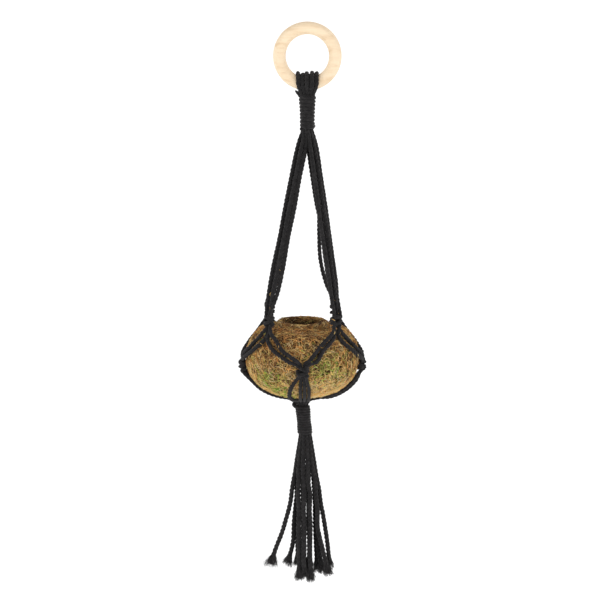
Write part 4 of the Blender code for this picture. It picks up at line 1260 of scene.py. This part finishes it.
def build_collar():
    """The fibre collar round the mouth, wound mostly level, and the mouth's inner wall, whose strands
    are darkened deeper down as painted shade.
    """
    moss = moss_material()
    rng = np.random.default_rng(17)
    outline = [(MOUTH_RADIUS + out, BOWL_RIM - down) for out, down in MOUTH_EDGE]
    outline.append(((MOUTH_RADIUS + COLLAR_RADIUS) / 2.0, BOWL_RIM - 0.0002))
    outline += [(COLLAR_RADIUS + out, BOWL_RIM - down) for out, down in COLLAR_EDGE]
    side = Side(outline)
    paths, (turn, down) = lay_strands(side, rng, COLLAR_STRANDS, 0.0, side.length, (0.008, 0.02),
                                      (-0.0004, 0.0005), (0.0, 0.0006), 0.9, level=True)
    share = down / side.length
    # Painted shade: the strands down the mouth's inner wall are darkened the deeper they lie, to 0.06 of
    # their colour at its foot. On the collar's top and outside they are scaled by 1.1 and 1.05.
    shade = np.interp(share, (0.0, 0.2, 0.4, 0.5, 1.0), (0.06, 0.16, 0.75, 1.1, 1.05))[:, None]
    add_strands("moss_collar", paths, turn, np.where(share < 0.45, 0.02, 0.16), 1.0,
                (0.0002, 0.00038), moss, rng, "bowl", shade)
    low, high = STRAY_BAND
    paths, (turn, _) = lay_strands(side, rng, STRAY_HAIRS, side.length * low, side.length * high,
                                   (0.003, 0.006), (0.0, 0.0006), (0.0012, 0.003), 1.2)
    radii = rng.uniform(0.0001, 0.00018, STRAY_HAIRS)[:, None] * STRAND_TAPER[None, :]
    colours = moss_colours(rng, turn, np.full(STRAY_HAIRS, 0.3), 0.9)
    stray = make_fibres("moss_stray", paths, radii, moss, colours)
    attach(stray, "bowl")


def build_crumbs():
    """Bits of moss that cling to the net and the lower ends of the arms."""
    rng = np.random.default_rng(31)
    share = np.linspace(0.0, 1.0, FIBRE_POINTS)[:, None]
    paths = []
    for arm, place, count in CRUMB_PLACES:
        knot = lower_knot_of(arm, place)
        stations = arm_stations(arm, place, rng)[-2:] + net_stations(arm, place, knot)[:4]
        line, width, _ = follow(stations, ROPE_STEP)
        outward = np.array(direction(ARM_ANGLES[arm]))
        for index in rng.integers(4, len(line) - 4, count):
            side = rng.normal(0.0, 1.0, 3)
            way = outward + 0.55 * side / np.linalg.norm(side)
            way /= np.linalg.norm(way)
            start = line[index] + way * (width[index] * 0.5)
            heading = np.cross(way, rng.normal(0.0, 1.0, 3))
            heading /= np.linalg.norm(heading)
            size = rng.uniform(0.0025, 0.006)
            arch = np.sin(math.pi * share) * rng.uniform(0.0002, 0.0009)
            paths.append(start + heading * size * (share - 0.5) + way * arch)
    turn = rng.uniform(0.0, 6.28, len(paths))
    add_strands("moss_crumbs", np.array(paths), turn, 0.45, 1.05, (0.00022, 0.00042),
                moss_material(), rng, "sling")


# ---- liner and ring ----

def build_liner():
    """The liner cup, with a rolled rim, a rounded foot and a floor rounded at its edge."""
    height = LINER_HIGH.z - LINER_LOW.z
    outer = LINER_RADIUS
    wall = LINER_WALL
    profile = [(outer - inset, height - below) for inset, below in LINER_RIM]
    profile += [(outer - inset, above) for inset, above in LINER_FOOT]
    profile += [(AXIS_GAP, 0.0), (AXIS_GAP, wall)]
    profile += [(outer - wall - inset, wall + above) for inset, above in LINER_FLOOR]
    liner = turned_object("liner", profile[::-1], 128, liner_material(),
                          (BOWL_X, 0.0, LINER_LOW.z))
    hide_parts("liner_cup")
    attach(liner, "liner")


def build_ring():
    """The wooden ring: a finely divided torus."""
    turn = np.arange(RING_STEPS)[:, None] * (math.tau / RING_STEPS)
    spin = np.arange(RING_SIDES)[None, :] * (math.tau / RING_SIDES)
    radius = RING_MIDDLE + RING_TUBE * np.cos(spin)
    x = radius * np.cos(turn)
    z = radius * np.sin(turn) + RING_HEIGHT
    y = RING_TUBE * np.sin(spin) * np.ones_like(turn)
    vertices = np.stack([x, y, z], axis=-1).reshape(-1, 3)
    quads = wrapped_quads(RING_STEPS, RING_SIDES)
    made = make_object("wooden_ring", vertices, [quads], wood_material())
    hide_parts("hanging_ring")
    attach(made, "ring")


build_loops()
build_half_cords()
build_top_wrap()
build_lower_wrap()
build_tassel()
build_moss_body()
build_moss()
build_collar()
build_crumbs()
build_liner()
build_ring()
